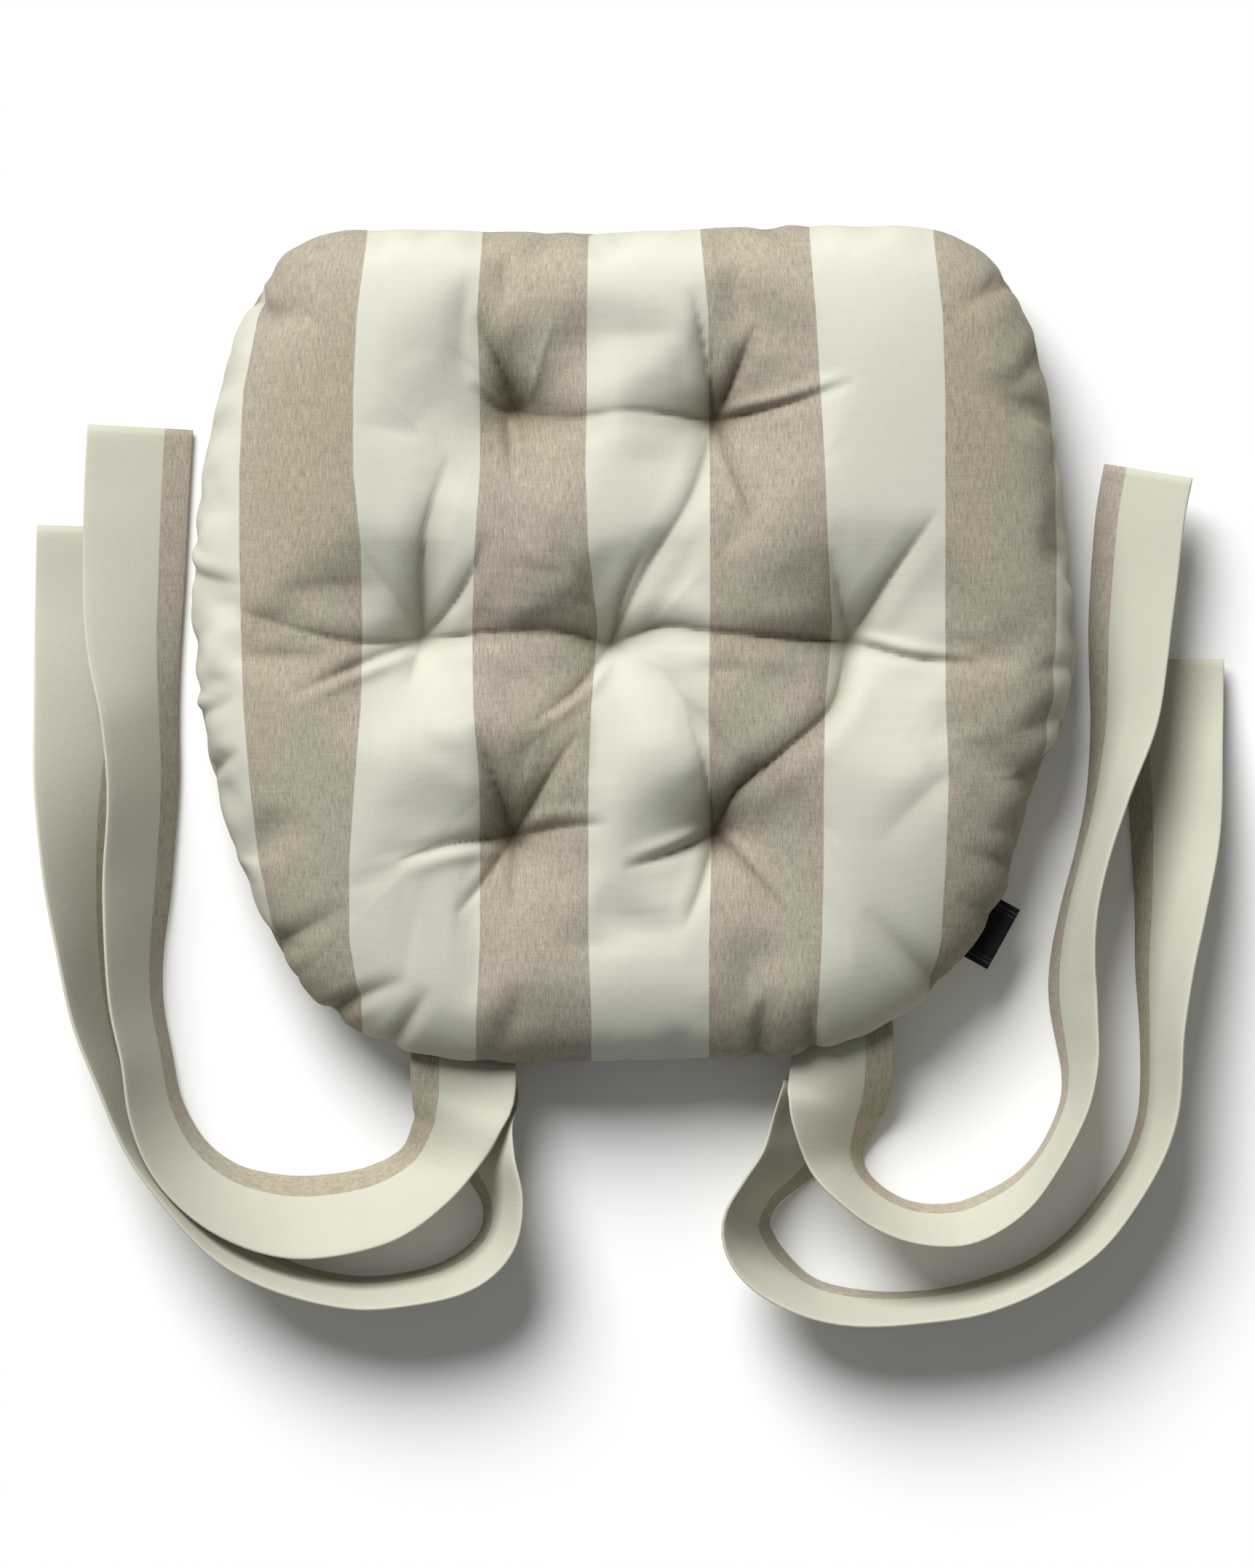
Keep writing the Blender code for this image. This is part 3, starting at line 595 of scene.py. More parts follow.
def fold_relief(x, y, folds, from_edge=False):
    """Height that the folds add at each point, in metres."""
    relief = np.zeros(x.shape)
    for depth, half, proud, run in folds:
        route = [(a * MM, b * MM) for a, b in smooth_curve(run, 6)]
        wide = half * MM
        xs, ys = [p[0] for p in route], [p[1] for p in route]
        margin = 6.0 * wide
        close = ((x > min(xs) - margin) & (x < max(xs) + margin)
                 & (y > min(ys) - margin) & (y < max(ys) + margin))
        signed, along, whole = run_distance(x[close], y[close], route)
        t = along / whole
        gap = np.abs(signed)
        core = np.maximum(0.50 * wide * (1.0 - 0.5 * t), 0.00135)
        sharp = np.exp(-gap / core)
        if from_edge:
            sharp = np.exp(-(gap / wide) ** 1.4)
        valley = 0.70 * sharp + 0.30 * np.exp(-(gap / (2.2 * wide)) ** 2)
        if from_edge:
            strength = np.clip(1.0 - t, 0.0, 1.0) ** 0.8
        else:
            strength = (0.06 + 0.94 * np.clip(along / TUFT_HOLD, 0.0, 1.0) ** 0.8) * (
                1.0 - t ** 2.2)
            if min(math.dist(run[-1], tuft) for tuft in TUFTS.values()) < 3.0:
                near_end = np.minimum(along, whole - along)
                strength = (0.62 + 0.38 * np.abs(np.cos(math.pi * t))) * (
                    0.06 + 0.94 * np.clip(near_end / TUFT_HOLD, 0.0, 1.0) ** 0.8)
        lip = np.exp(-((signed * (proud or 1) - 1.7 * wide) / (1.2 * wide)) ** 2)
        both = np.exp(-((gap - 2.0 * wide) / (1.3 * wide)) ** 2)
        rise = 0.45 * lip + 0.10 * both if proud else 0.20 * both
        relief[close] += 1.25 * depth * MM * strength * (rise - valley)
    return relief


class Panels:
    """Shapes of the two panels on one square grid, wrapped to the pad's outline."""

    def __init__(self, pad, cells):
        self.pad = pad
        side = np.linspace(-1.0, 1.0, cells + 1)
        u, v = np.meshgrid(side, side, indexing="ij")
        self.ring = np.maximum(np.abs(u), np.abs(v))
        self.angle = np.arctan2(v, u)

    def fullness(self, fraction):
        return np.clip(1.0 - fraction ** self.pad.edge_power, 0.0, 1.0) ** 0.5

    def plan(self, rise):
        """Where the cells lie: evenly over the panel's curve, and closer about each tuft."""
        steps = 1.0 - np.linspace(1.0, 0.0, 2000) ** 2
        run = np.hypot(np.diff(steps * 0.19), np.diff(rise * self.fullness(steps)))
        run = np.concatenate([[0.0], np.cumsum(run)])
        self.fraction = np.interp(self.ring * run[-1], run, steps)
        self.extra = np.interp(self.fraction, steps, run - steps * 0.19)
        reach = self.fraction * seam_reach(self.angle)
        x, y = reach * np.cos(self.angle), reach * np.sin(self.angle)
        for tx, ty in TUFTS.values():
            ox, oy = x - tx * MM, y - ty * MM
            share = 0.55 * np.exp(-(ox ** 2 + oy ** 2) / 0.014 ** 2)
            x, y = x - ox * share, y - oy * share
        self.angle = np.where(self.ring > 0.0, np.arctan2(y, x), 0.0)
        self.fraction = np.hypot(x, y) / seam_reach(self.angle)
        return x, y

    def tuft_shape(self, x, y, widths, rows=("front", "middle", "rear")):
        """Sum of the tufts' pulls; widths is a list of share, radius and sharpness."""
        pull = np.zeros(x.shape)
        for name, (tx, ty) in TUFTS.items():
            if name.split("_")[0] not in rows:
                continue
            gap = np.hypot(x - tx * MM, y - ty * MM)
            for share, radius, power in widths:
                pull += share * np.exp(-(gap / radius) ** power)
        return pull

    def upper(self):
        rise = self.pad.crown - SEAM_HEIGHT
        x, y = self.plan(rise)
        widths = [(0.26, 0.033, 2.0), (0.52, 0.0155, 1.35), (0.16, 0.0052, 1.1)]
        pull = self.tuft_shape(x, y, widths)
        z = SEAM_HEIGHT + rise * self.fullness(self.fraction) - self.pad.tuft_depth * pull
        return np.stack([x, y, z], axis=-1)

    def lower(self):
        x, y = self.plan(SEAM_HEIGHT)
        flat = np.clip(1.07 * self.fullness(self.fraction), 0.0, 1.0)
        pull = self.tuft_shape(x, y, [(0.6, 0.012, 2.0), (0.4, 0.004, 1.0)])
        z = SEAM_HEIGHT * (1.0 - flat) + self.pad.pinch * pull
        return np.stack([x, y, z], axis=-1)


def grid_normals(points, flip):
    across, along = np.gradient(points, axis=0), np.gradient(points, axis=1)
    normal = np.cross(across, along)
    normal /= np.linalg.norm(normal, axis=-1, keepdims=True) + 1e-12
    return -normal if flip else normal


def grid_faces(cells, flip, index=None):
    index = np.arange((cells + 1) ** 2).reshape(cells + 1, cells + 1) if index is None else index
    corners = [index[:-1, :-1], index[1:, :-1], index[1:, 1:], index[:-1, 1:]]
    faces = np.stack([c.ravel() for c in corners], axis=1)
    return faces[:, ::-1] if flip else faces


def new_piece(name, points, faces, material, smooth=True):
    mesh = bpy.data.meshes.new(name)
    mesh.from_pydata([tuple(p) for p in points], [], [tuple(f) for f in faces])
    mesh.validate()
    mesh.materials.append(material)
    mesh.polygons.foreach_set("use_smooth", [smooth] * len(mesh.polygons))
    piece = bpy.data.objects.new(name, mesh)
    bpy.context.scene.collection.objects.link(piece)
    return piece


def add_layout(piece, stripe, weave, painted_shade):
    """Store where a point lies on the cloth: which stripe, its place along the threads, and how
    much painted shade darkens it deep in folds, round tuft centres and towards the rim."""
    mesh = piece.data
    mesh.attributes.new("painted_shade", "FLOAT", "POINT").data.foreach_set(
        "value", np.asarray(painted_shade, np.float32).ravel())
    mesh.attributes.new("stripe", "FLOAT", "POINT").data.foreach_set(
        "value", np.asarray(stripe, np.float32).ravel())
    mesh.attributes.new("weave", "FLOAT_VECTOR", "POINT").data.foreach_set(
        "vector", np.asarray(weave, np.float32).ravel())


# ---- The pad ----
def swollen(pad):
    """How the filling pushes both panels out, on a coarse grid: two fields of offsets."""
    panels = Panels(pad, SIM_CELLS)
    upper, lower = panels.upper(), panels.lower()
    size = SIM_CELLS + 1
    top_index = np.arange(size * size).reshape(size, size)
    low_index = top_index + size * size
    rim = panels.ring > 0.9999
    low_index[rim] = top_index[rim]
    points = np.concatenate([upper.reshape(-1, 3), lower.reshape(-1, 3)])
    faces = np.concatenate([grid_faces(SIM_CELLS, False, top_index),
                            grid_faces(SIM_CELLS, True, low_index)])
    body = new_piece("swelling", points, faces, None)
    weights = np.zeros(len(points))
    flat = np.concatenate([rim.ravel(), rim.ravel()])
    weights[flat] = 1.0
    gaps = [np.hypot(points[:, 0] - tx * MM, points[:, 1] - ty * MM)
            for tx, ty in TUFTS.values()]
    for gap in gaps:
        weights[gap < TUFT_SEWN] = 1.0
    weights[size * size:][lower.reshape(-1, 3)[:, 2] < 0.0004] = 0.9
    group = body.vertex_groups.new(name="sewn")
    for i in np.nonzero(weights)[0]:
        group.add([int(i)], float(weights[i]), "REPLACE")
    cloth = body.modifiers.new("Cloth", "CLOTH")
    settings = cloth.settings
    settings.quality = 6
    settings.mass = 0.25
    settings.tension_stiffness = 18.0
    settings.compression_stiffness = 12.0
    settings.shear_stiffness = 8.0
    settings.bending_stiffness = 0.6
    settings.use_pressure = True
    settings.uniform_pressure_force = 4.0
    settings.shrink_min = -0.045
    settings.vertex_group_mass = "sewn"
    settings.effector_weights.gravity = 0.0
    cloth.collision_settings.use_collision = False
    cloth.point_cache.frame_start = 1
    cloth.point_cache.frame_end = SIM_STEPS
    scene = bpy.context.scene
    for step in range(1, SIM_STEPS + 1):
        scene.frame_set(step)
    shape = body.evaluated_get(bpy.context.evaluated_depsgraph_get())
    moved = np.zeros(len(shape.data.vertices) * 3, np.float32)
    shape.data.vertices.foreach_get("co", moved)
    offset = moved.reshape(-1, 3).astype(float) - points
    scene.frame_set(1)
    bpy.data.objects.remove(body, do_unlink=True)
    reach = np.linalg.norm(offset, axis=1, keepdims=True)
    offset *= np.minimum(1.0, pad.swell / np.maximum(reach, 1e-9))
    for gap in gaps:
        offset *= (1.0 - np.exp(-(gap / TUFT_HOLD) ** 2))[:, None]
    top, low = offset[:size * size], offset[size * size:]
    low[rim.ravel()] = top[rim.ravel()]
    return top.reshape(size, size, 3), low.reshape(size, size, 3)


def soften(field, passes):
    """Even out a grid field, keeping its rim."""
    for _ in range(passes):
        inner = field[1:-1, 1:-1]
        around = field[:-2, 1:-1] + field[2:, 1:-1] + field[1:-1, :-2] + field[1:-1, 2:]
        field = field.copy()
        field[1:-1, 1:-1] = 0.5 * inner + 0.125 * around
    return field


def edge_gathers(angle, reach, run_in, seed):
    """Small gathers along the seam: relief by place round the edge and distance in from it."""
    chance = np.random.default_rng(seed)
    relief = np.zeros(angle.shape)
    place = -math.pi
    while place < math.pi:
        radius = float(seam_reach(np.array(place)))
        depth = chance.uniform(0.9, 2.6) * MM * (0.40 + 0.60 * math.cos(place) ** 4)
        wide = chance.uniform(3.0, 5.6) * MM
        long = chance.uniform(14.0, 36.0) * MM
        drift = chance.uniform(-0.35, 0.35)
        turn = (angle - place + math.pi) % math.tau - math.pi
        gap = np.abs(turn * reach - drift * run_in)
        inward = np.clip(1.0 - run_in / long, 0.0, 1.0) ** 1.4
        valley = 0.35 * np.exp(-gap / wide) + 0.65 * np.exp(-(gap / (1.3 * wide)) ** 2)
        swell = 0.35 * np.exp(-((gap - 2.6 * wide) / (1.6 * wide)) ** 2)
        relief += depth * inward * (swell - valley) * (1.0 - 0.55 * np.exp(-run_in / 0.007))
        place += chance.uniform(15.0, 31.0) * MM / radius
    return relief


def stripe_place(x, y):
    """Which stripe a point of the upper panel is in: whole numbers are the stripes' edges."""
    stations = np.array(STRIPE_STATIONS[::-1]) * MM
    edges = np.array([np.interp(y, stations, np.array(e[::-1]) * MM) for e in STRIPE_EDGES])
    place = (x - edges[0]) / STRIPE_PITCH
    for k in range(len(STRIPE_EDGES) - 1):
        share = (x - edges[k]) / (edges[k + 1] - edges[k])
        place = np.where(x >= edges[k], k + share, place)
    return np.where(x >= edges[-1], len(STRIPE_EDGES) - 1 + (x - edges[-1]) / STRIPE_PITCH, place)


def drawn_in(x, y):
    """Cloth is drawn in towards each tuft: how much further out a point was when flat."""
    dx, dy = np.zeros(x.shape), np.zeros(x.shape)
    for tx, ty in TUFTS.values():
        ox, oy = x - tx * MM, y - ty * MM
        gap = np.hypot(ox, oy) + 1e-6
        pull = 0.0052 * (1.0 - np.exp(-gap / 0.005)) * np.exp(-gap / 0.014)
        dx += pull * ox / gap
        dy += pull * oy / gap
    return dx, dy


def tuck_rim(points, ring, side):
    """Turn a panel's last cells in towards the seam thread."""
    cells = points.shape[0] - 1
    last = ring > 1.0 - 0.5 / (cells / 2)
    flat = points[last]
    reach = np.hypot(flat[:, 0], flat[:, 1])[:, None]
    flat[:, :2] *= 1.0 - 0.0017 / reach
    flat[:, 2] = SEAM_HEIGHT + side * 0.0001
    points[last] = flat
    return points


def shaped_panels(pad):
    """Both panels as fine grids with their layout on the cloth."""
    top_push, low_push = (np.zeros((SIM_CELLS + 1, SIM_CELLS + 1, 3)),) * 2
    top_push, low_push = (soften(f, 2) for f in swollen(pad))
    made = {}
    for name, cells, push in (("upper", pad.cells, top_push), ("lower", pad.cells // 2, low_push)):
        panels = Panels(pad, cells)
        points = panels.upper() if name == "upper" else panels.lower()
        x, y = points[..., 0].copy(), points[..., 1].copy()
        carry = cubic_weights(SIM_CELLS, cells)
        points = points + np.einsum("ai,ijk,bj->abk", carry, push, carry)
        edgewise = np.clip((panels.fraction - 0.72) / 0.20, 0.0, 1.0)[..., None]
        lift = grid_normals(points, name == "lower") * edgewise
        lift[..., 2] += (1.0 - edgewise[..., 0]) * (1.0 if name == "upper" else -1.0)
        lift /= np.linalg.norm(lift, axis=-1, keepdims=True)
        run_in = (1.0 - panels.ring) * (0.225 if name == "upper" else 0.205)
        reach = seam_reach(panels.angle)
        relief = edge_gathers(panels.angle, reach, run_in, GATHER_SEED)
        if name == "upper":
            relief += fold_relief(x, y, FOLDS_FROM_TUFTS)
            relief += fold_relief(x, y, FOLDS_FROM_EDGE, True)
        else:
            relief *= np.clip((points[..., 2] - 0.0008) / 0.012, 0.0, 1.0)
        deepest = 0.0022 + 0.35 * run_in
        relief = np.where(relief < 0.0, -deepest * np.tanh(-relief / deepest), relief)
        smooth = points
        points = points + lift * relief[..., None]
        # Painted shade: a point darkens deep in a fold, round each tuft's centre (most at the
        # front and rear tufts) and towards the rim, most along the rear edge.
        centre = panels.tuft_shape(x, y, [(0.22, 0.0075, 1.3)])
        centre += panels.tuft_shape(x, y, [(0.80, 0.0092, 1.4)], ("front", "rear"))
        painted_shade = np.clip(-relief / 0.0062, 0.0, 0.85) + centre
        rear = 0.36 + 0.24 * np.clip(-np.sin(panels.angle), 0.0, 1.0)
        painted_shade += rear * np.clip((panels.ring - 0.82) / 0.18, 0.0, 1.0) ** 1.4
        painted_shade = np.clip(painted_shade, 0.0, 1.0)
        dx, dy = (drawn_in(x, y) if name == "upper" else (0.0, 0.0))
        if name == "upper":
            # Stripes are placed as they look from above, where higher cloth looks larger.
            near = 1.0 + (smooth[..., 2] - SEAM_HEIGHT) / EYE_DISTANCE
            stripe = stripe_place(smooth[..., 0] * near, smooth[..., 1] * near)
        else:
            points[..., 2] = np.maximum(points[..., 2], 0.0)
            stripe = (x + 0.0714) / STRIPE_PITCH + 2.0
        points = tuck_rim(points, panels.ring, 1 if name == "upper" else -1)
        weave = np.stack([x + dx + panels.extra * np.cos(panels.angle),
                          y + dy + panels.extra * np.sin(panels.angle), 0.0 * x], axis=-1)
        made[name] = (points, stripe, weave, painted_shade)
    return made


def make_covers_and_filling(pad, canvas, trim):
    cloth = shared("striped canvas cloth", striped_canvas, canvas, canvas.cream)
    made = shaped_panels(pad)
    for name, node in (("upper", "cover_top"), ("lower", "cover_bottom")):
        points, stripe, weave, painted_shade = made[name]
        cells = points.shape[0] - 1
        piece = new_piece(f"{name}_cover", points.reshape(-1, 3),
                          grid_faces(cells, name == "lower"), cloth)
        add_layout(piece, stripe, weave, painted_shade)
        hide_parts(node)
        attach(piece, "root")
    make_filling(pad, made, trim)


def make_filling(pad, made, trim):
    """Loose fibre, a little inside both panels everywhere."""
    step = 3
    layers = []
    for name, sign in (("upper", -1.0), ("lower", 1.0)):
        points = made[name][0]
        z = points[..., 2].copy()
        for _ in range(4 if name == "upper" else 2):
            for axis in (0, 1):
                before, after = np.roll(z, 1, axis), np.roll(z, -1, axis)
                z = np.minimum(z, np.minimum(before, after)) if sign < 0 else np.maximum(
                    z, np.maximum(before, after))
        flat = points.copy()
        flat[..., 2] = z + sign * 0.002
        flat[..., :2] *= 0.962
        every = step * 2 if name == "upper" else step
        layers.append(flat[::every, ::every])
    upper, lower = layers
    upper[..., 2] = np.maximum(upper[..., 2], lower[..., 2] + 0.001)
    size = upper.shape[0]
    top_index = np.arange(size * size).reshape(size, size)
    low_index = top_index + size * size
    loop = [top_index[i, 0] for i in range(size - 1)] + [top_index[-1, j] for j in range(size - 1)]
    loop += [top_index[i, -1] for i in range(size - 1, 0, -1)]
    loop += [top_index[0, j] for j in range(size - 1, 0, -1)]
    sides = [(a, a + size * size, b + size * size, b) for a, b in zip(loop, loop[1:] + loop[:1])]
    faces = [tuple(f) for f in grid_faces(size - 1, False, top_index)]
    faces += [tuple(f) for f in grid_faces(size - 1, True, low_index)] + sides
    points = np.concatenate([upper.reshape(-1, 3), lower.reshape(-1, 3)])
    piece = new_piece("fibre_filling", points, faces, shared("loose fibre", fibre_fill, trim))
    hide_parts("filling")
    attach(piece, "root")


# ---- Twine, threads, ties and tag ----
def tube_faces(rings, count, flip=False):
    """Faces round a tube of so many rings, with a cap on each end."""
    faces = [(i * count + k, i * count + (k + 1) % count,
              (i + 1) * count + (k + 1) % count, (i + 1) * count + k)
             for i in range(rings - 1) for k in range(count)]
    faces += [tuple(range(count))[::-1], tuple((rings - 1) * count + k for k in range(count))]
    return [f[::-1] for f in faces] if flip else faces


def lathe(name, profile, centre, sides, material):
    """A closed turned shape from radius and height pairs."""
    points = [(centre[0] + r * math.cos(math.tau * k / sides),
               centre[1] + r * math.sin(math.tau * k / sides), z)
              for r, z in profile for k in range(sides)]
    return new_piece(name, points, tube_faces(len(profile), sides), material)


def make_tufts(pad, trim):
    twine = shared("waxed twine", spun_thread, trim.twine, 0.0011)
    floor_of_tuft = pad.crown - pad.tuft_depth * 1.20
    for name, (tx, ty) in TUFTS.items():
        low, high = pad.pinch * 0.75, floor_of_tuft
        profile = [(0.0004, low - 0.0006), (0.0016, low - 0.0002), (0.0017, low + 0.0008),
                   (0.0009, low + 0.0016), (0.0009, high - 0.0012), (0.0015, high - 0.0004),
                   (0.0016, high + 0.0004), (0.0005, high + 0.0011)]
        piece = lathe(f"twine_{name}", profile, (tx * MM, ty * MM), 14, twine)
        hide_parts(f"tuft_{name}")
        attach(piece, "root")


def dress_sewing(trim):
    sewing = shared("sewing thread", spun_thread, trim.sewing, 0.0007)
    for node in ("seam_thread", "closing_stitch", "bartack_left", "bartack_right"):
        mesh = frame["nodes"][node].data
        mesh.materials.clear()
        mesh.materials.append(sewing)


def tie_section(half, thick):
    """A strip's cross-section: across, up, and place across the cloth, round both faces."""
    round_off = thick / 2
    spots = np.linspace(-half + round_off, half - round_off, 13)
    ends = [(round_off * math.cos(a), round_off * math.sin(a))
            for a in np.radians((-60.0, -25.0, 0.0, 25.0, 60.0))]
    lower = [(s, -round_off) for s in spots]
    right = [(half - round_off + c, s) for c, s in ends]
    upper = [(s, round_off) for s in spots[::-1]]
    left = [(-half + round_off - c, -s) for c, s in ends]
    return np.array(lower + right + upper + left)


def make_tie(name, side, is_upper, cloth):
    """A strip of doubled canvas that leaves the rear seam and lies in a loop beside the pad.

    It is one strip, made as two meshes: its root drops from the seam and stays where it is made,
    and the rest moves with the tie. The loop comes back past the seam's line.
    """
    (hx, hy), (sx, sy) = TIE_HINGES[side]
    root, seam = np.array([hx, hy]), np.array([sx, sy])
    into_pad = np.array([-sy, sx])
    start = root + into_pad * TIE_INSET
    route = [(*start, TIE_WIDTH), (*root, TIE_WIDTH)] + TIE_ROUTES[name]
    steps, run = even_steps(smooth_curve(route, 8), TIE_STEP)
    ahead = np.gradient(steps[:, :2], axis=0)
    ahead /= np.linalg.norm(ahead, axis=1, keepdims=True)
    across = np.stack([-ahead[:, 1], ahead[:, 0]], axis=1)
    skew = np.clip(1.0 - (run - TIE_INSET) / 0.030, 0.0, 1.0)[:, None]
    facing = np.sign(across @ seam)[:, None]
    across = across * (1.0 - skew) + seam * skew * facing
    across /= np.linalg.norm(across, axis=1, keepdims=True)
    outer = 1.0 if side == "left" else -1.0
    width = np.minimum(steps[:, 2], TIE_WIDTH)
    lean = np.arccos(width / TIE_WIDTH)
    z_root = SEAM_HEIGHT + (TIE_GAP + TIE_THICK) / 2 * (1 if is_upper else -1)
    rest = TIE_THICK / 2 + (TIE_THICK + TIE_GAP if is_upper else 0.0)
    drop, arch = (0.052, 0.004) if is_upper else (0.034, 0.0)
    section = tie_section(TIE_WIDTH / 2, TIE_THICK)
    points, layout, stripes = [], [], []
    phase = {"tie_left_lower": 0.3, "tie_left_upper": 1.9, "tie_right_lower": 3.1,
             "tie_right_upper": 4.4}[name]
    waves = np.sin(run * 47.0 + phase) * 0.6 + np.sin(run * 101.0 + phase * 2) * 0.4
    for i in range(len(steps)):
        outward = np.array([*(across[i] * outer), 0.0])
        up = np.array([0.0, 0.0, 1.0])
        wide = outward * math.cos(lean[i]) + up * math.sin(lean[i])
        thick = up * math.cos(lean[i]) - outward * math.sin(lean[i])
        middle = np.array([*steps[i, :2], rest + TIE_WIDTH / 2 * math.sin(lean[i])])
        settle = min(1.0, max(0.0, (run[i] - 0.05) / 0.05))
        for s, t in section:
            share = s / (TIE_WIDTH / 2)
            lift = settle * (0.0005 * (1.0 + waves[i]) * (share + 1.0)
                             + 0.0006 * (1.0 - share ** 2))
            point = middle + wide * s + thick * (t + lift)
            fall = np.clip(-np.dot(point[:2] - root, into_pad) / drop, 0.0, 1.0)
            if run[i] < 2.0 * drop + TIE_INSET:
                point[2] += (z_root - rest) * (1.0 - fall * fall * (3.0 - 2.0 * fall))
                point[2] += arch * math.sin(math.pi * fall)
            points.append(point)
            layout.append((s, run[i] + (UPPER_TIE_CLOTH if is_upper else 0.0), 0.0))
            stripes.append((s + TIE_WIDTH / 2 - TIE_FIRST_EDGE) / STRIPE_PITCH + 1.0)
    count, last = len(section), len(steps) - 1
    behind = -(np.array(points).reshape(last + 1, count, 3)[..., :2] - root) @ into_pad
    parting = next(i for i in range(last) if behind[i].min() > TIE_BEND + 0.0005)
    whole = new_piece("whole_strip", points, tube_faces(last + 1, count, outer > 0), cloth)
    normals = [tuple(corner.vector) for corner in whole.data.vertex_normals]
    bpy.data.objects.remove(whole, do_unlink=True)
    made = []
    for label, first, final in ((f"strip_{name[4:]}", parting, last),
                                (f"strip_{name[4:]}_root", 0, parting)):
        span = slice(first * count, (final + 1) * count)
        faces = tube_faces(final - first + 1, count, outer > 0)
        piece = new_piece(label, points[span], faces, cloth)
        # Both meshes take the whole strip's normals, so no line shows where they part.
        piece.data.normals_split_custom_set_from_vertices(normals[span])
        add_layout(piece, stripes[span], layout[span], np.zeros(len(points[span])))
        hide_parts(name)
        made.append(piece)
    strip, strip_root = made
    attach(strip, name)
    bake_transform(strip_root)


def make_tag(trim):
    """A woven tag folded in half, its two leaves a little apart."""
    low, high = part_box("label")
    joint = next(j for j in frame["joints"] if j["child"] == "label")
    along = Vector(joint["axis"]).normalized()
    out = Vector((-along.y, along.x, 0.0))
    root = Vector(joint["pos_m"])
    if out.dot((low + high) / 2 - root) < 0.0:
        out = -out
    half, reach, leaf, gap = 0.0155, 0.0113, 0.0003, 0.00025
    bend = [(-0.0030, gap), (0.0, gap), (0.0025, gap * 1.2), (reach * 0.5, gap * 1.5),
            (reach * 0.88, gap * 1.3)]
    line = bend + [(reach, 0.0)] + [(d, -z) for d, z in bend[::-1]]
    line = smooth_curve(line, 4)
    sides = np.array(line)
    tangent = np.gradient(sides, axis=0)
    tangent /= np.linalg.norm(tangent, axis=1, keepdims=True)
    normal = np.stack([-tangent[:, 1], tangent[:, 0]], axis=1)
    outer_line, inner_line = sides + normal * leaf / 2, sides - normal * leaf / 2
    loop = np.concatenate([outer_line, inner_line[::-1]])
    runs = np.concatenate([[0.0], np.cumsum(np.linalg.norm(np.diff(sides, axis=0), axis=1))])
    loop_run = np.concatenate([runs, runs[::-1]])
    stations = np.linspace(-half, half, 25)
    points, weave = [], []
    for s in stations:
        curl = 0.0006 * math.sin(s / half * 2.2 + 0.4)
        for (d, z), r in zip(loop, loop_run):
            lift = curl * max(0.0, d / reach)
            points.append(root + along * s + out * d + Vector((0.0, 0.0, z + lift)))
            weave.append((s, r, 0.0))
    count = len(loop)
    faces = [(i * count + k, (i + 1) * count + k, (i + 1) * count + (k + 1) % count,
              i * count + (k + 1) % count)
             for i in range(len(stations) - 1) for k in range(count)]
    strips = len(sides)
    for i in (0, len(stations) - 1):
        base = i * count
        for k in range(strips - 1):
            quad = (base + k, base + k + 1, base + count - 2 - k, base + count - 1 - k)
            faces.append(quad if i == 0 else quad[::-1])
    tag = new_piece("woven_side_tag", points, faces, shared("black damask", woven_tag, trim))
    add_layout(tag, np.zeros(len(points)), weave, np.zeros(len(points)))
    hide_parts("label")
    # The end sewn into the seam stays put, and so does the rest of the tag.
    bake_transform(tag)


# ---- Stage ----
def make_stage(stage):
    scene = bpy.context.scene
    scene.view_settings.view_transform = "Standard"
    side = FLOOR_REACH
    floor = new_piece("pale_floor", [(-side, -side, -0.0002), (side, -side, -0.0002),
                                     (side, side, -0.0002), (-side, side, -0.0002)],
                      [(0, 1, 2, 3)], shared("floor paint", floor_paint, stage), False)

    world = bpy.data.worlds.new("studio")
    world.use_nodes = True
    sky = world.node_tree.nodes["Background"]
    sky.inputs["Color"].default_value = (1.0, 1.0, 1.0, 1.0)
    sky.inputs["Strength"].default_value = stage.fill
    scene.world = world

    key = bpy.data.lights.new("key", "SUN")
    key.energy = stage.key
    key.angle = math.radians(36.0)
    lamp = bpy.data.objects.new("key", key)
    bearing, climb = math.radians(116.0), math.radians(42.0)
    lamp.location = (math.cos(climb) * math.cos(bearing), math.cos(climb) * math.sin(bearing),
                     math.sin(climb))
    lamp.rotation_euler = (-lamp.location).to_track_quat("-Z", "Y").to_euler()
    scene.collection.objects.link(lamp)

    camera = bpy.data.cameras.new("above")
    camera.lens = camera.sensor_width * EYE_DISTANCE / VIEW_WIDTH
    camera.clip_end = 20.0
    eye = bpy.data.objects.new("above", camera)
    eye.location = (-0.0025, -0.0641, SEAM_HEIGHT + EYE_DISTANCE)
    scene.collection.objects.link(eye)
    scene.camera = eye


# ---- Operators, panel and registration ----
class SEATPAD_OT_stage(bpy.types.Operator):
    """Add the floor, the soft lights and the camera above the pad"""
    bl_idname = "seatpad.stage"
    bl_label = "Stage"

    def execute(self, context):
        make_stage(context.scene.seatpad_stage)
        return {"FINISHED"}


class SEATPAD_OT_pad(bpy.types.Operator):
    """Build the striped cover's two panels and the filling"""
    bl_idname = "seatpad.pad"
    bl_label = "Cover and filling"

    def execute(self, context):
        scene = context.scene
        make_covers_and_filling(scene.seatpad_pad, scene.seatpad_canvas, scene.seatpad_trim)
        return {"FINISHED"}


class SEATPAD_OT_tufts(bpy.types.Operator):
    """Tie the tufts with twine through the pad"""
    bl_idname = "seatpad.tufts"
    bl_label = "Tufts"

    def execute(self, context):
        make_tufts(context.scene.seatpad_pad, context.scene.seatpad_trim)
        return {"FINISHED"}


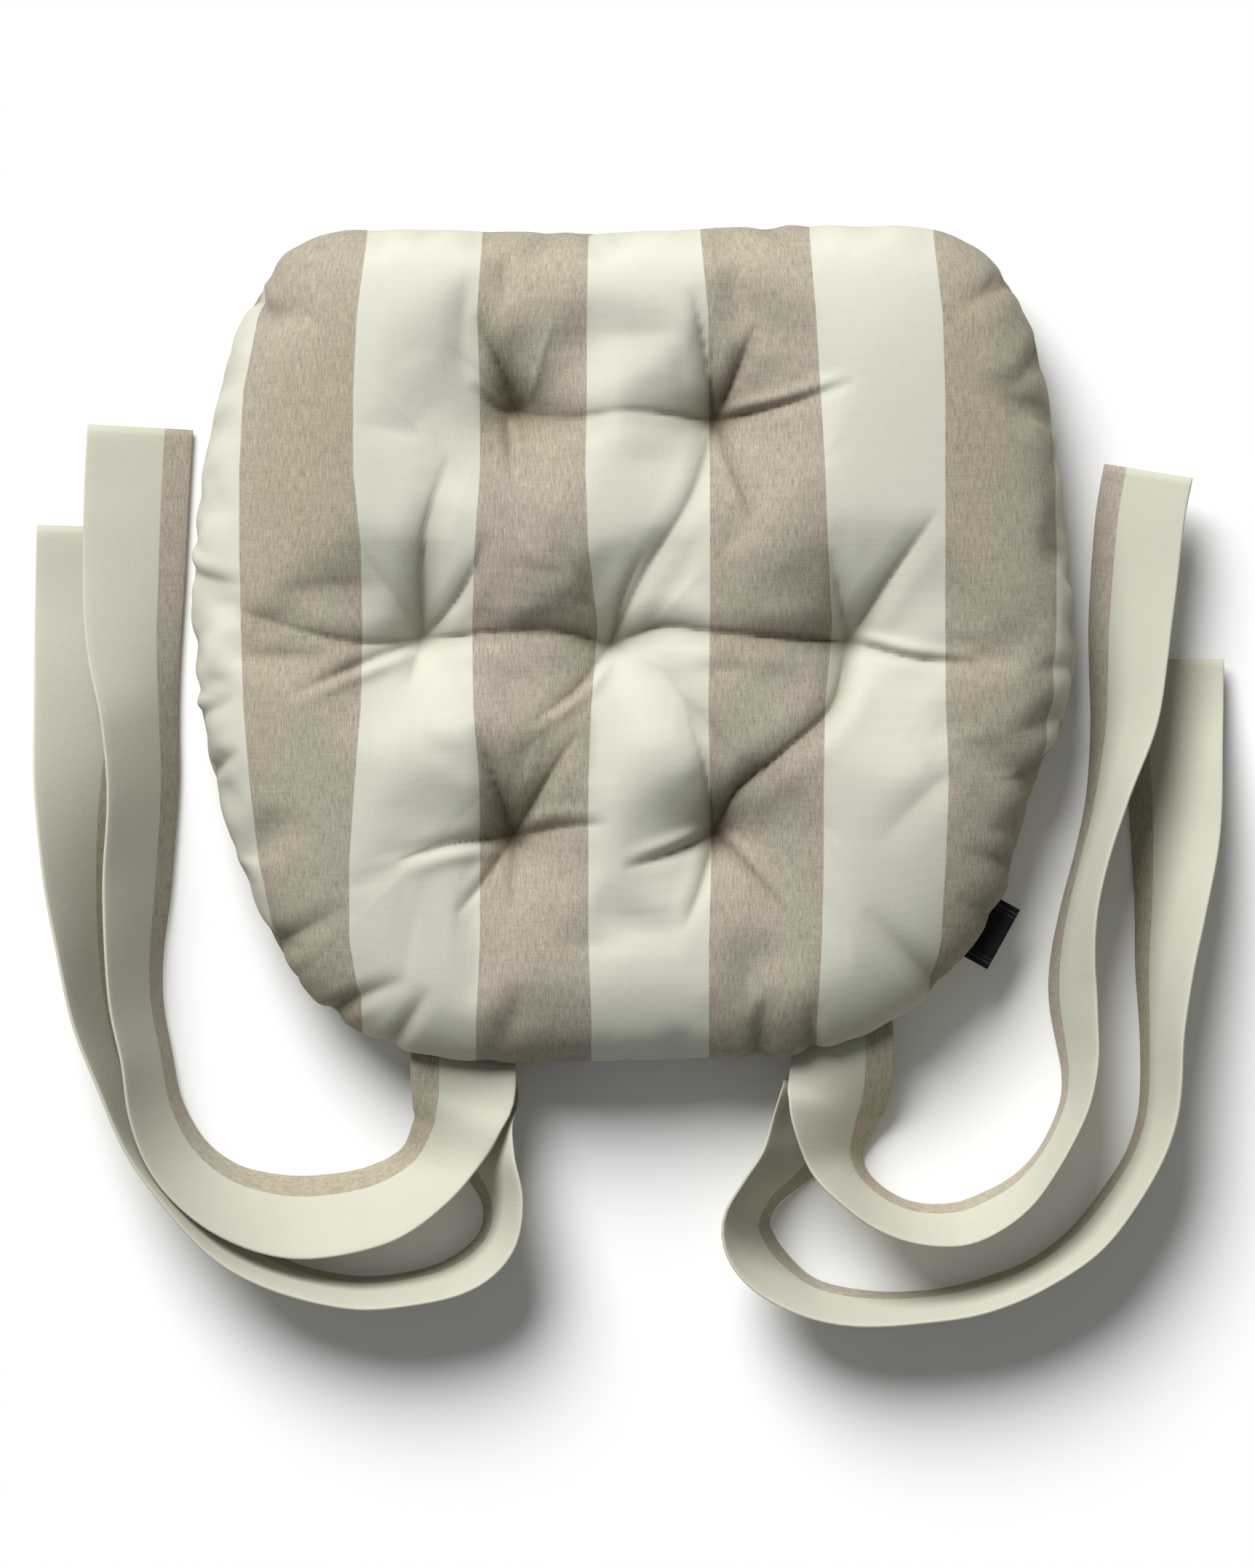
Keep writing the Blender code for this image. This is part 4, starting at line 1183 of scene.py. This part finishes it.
class SEATPAD_OT_sewing(bpy.types.Operator):
    """Give the seams and bartacks their thread"""
    bl_idname = "seatpad.sewing"
    bl_label = "Seams"

    def execute(self, context):
        dress_sewing(context.scene.seatpad_trim)
        return {"FINISHED"}


class SEATPAD_OT_ties(bpy.types.Operator):
    """Lay out the four ties"""
    bl_idname = "seatpad.ties"
    bl_label = "Ties"

    def execute(self, context):
        canvas = context.scene.seatpad_canvas
        # The ties' canvas is a copy of the pad's with a darker cream, as painted shade.
        cloth = shared("tie canvas cloth", striped_canvas, canvas, canvas.tie_cream)
        for side in TIE_HINGES:
            make_tie(f"tie_{side}_lower", side, False, cloth)
            make_tie(f"tie_{side}_upper", side, True, cloth)
        return {"FINISHED"}


class SEATPAD_OT_tag(bpy.types.Operator):
    """Sew the woven tag into the side seam"""
    bl_idname = "seatpad.tag"
    bl_label = "Side tag"

    def execute(self, context):
        make_tag(context.scene.seatpad_trim)
        return {"FINISHED"}


class SEATPAD_PT_panel(bpy.types.Panel):
    bl_idname = "SEATPAD_PT_panel"
    bl_label = "Seat pad"
    bl_space_type = "VIEW_3D"
    bl_region_type = "UI"
    bl_category = "Seat pad"

    def draw(self, context):
        for group in SETTINGS:
            box = self.layout.box()
            for prop in SETTINGS[group].__annotations__:
                box.prop(getattr(context.scene, group), prop)
        for operator in OPERATORS:
            self.layout.operator(operator.bl_idname)


SETTINGS = {"seatpad_pad": PadSettings, "seatpad_canvas": CanvasSettings,
            "seatpad_trim": TrimSettings, "seatpad_stage": StageSettings}
OPERATORS = (SEATPAD_OT_stage, SEATPAD_OT_pad, SEATPAD_OT_tufts, SEATPAD_OT_sewing,
             SEATPAD_OT_ties, SEATPAD_OT_tag)
CLASSES = (*SETTINGS.values(), *OPERATORS, SEATPAD_PT_panel)


def register():
    for cls in CLASSES:
        bpy.utils.register_class(cls)
    for name, group in SETTINGS.items():
        setattr(bpy.types.Scene, name, bpy.props.PointerProperty(type=group))


def unregister():
    for name in SETTINGS:
        delattr(bpy.types.Scene, name)
    for cls in reversed(CLASSES):
        bpy.utils.unregister_class(cls)


def main():
    register()
    bpy.ops.seatpad.stage()
    bpy.ops.seatpad.pad()
    bpy.ops.seatpad.tufts()
    bpy.ops.seatpad.sewing()
    bpy.ops.seatpad.ties()
    bpy.ops.seatpad.tag()
    bpy.context.view_layer.update()


if __name__ == "__main__":
    main()
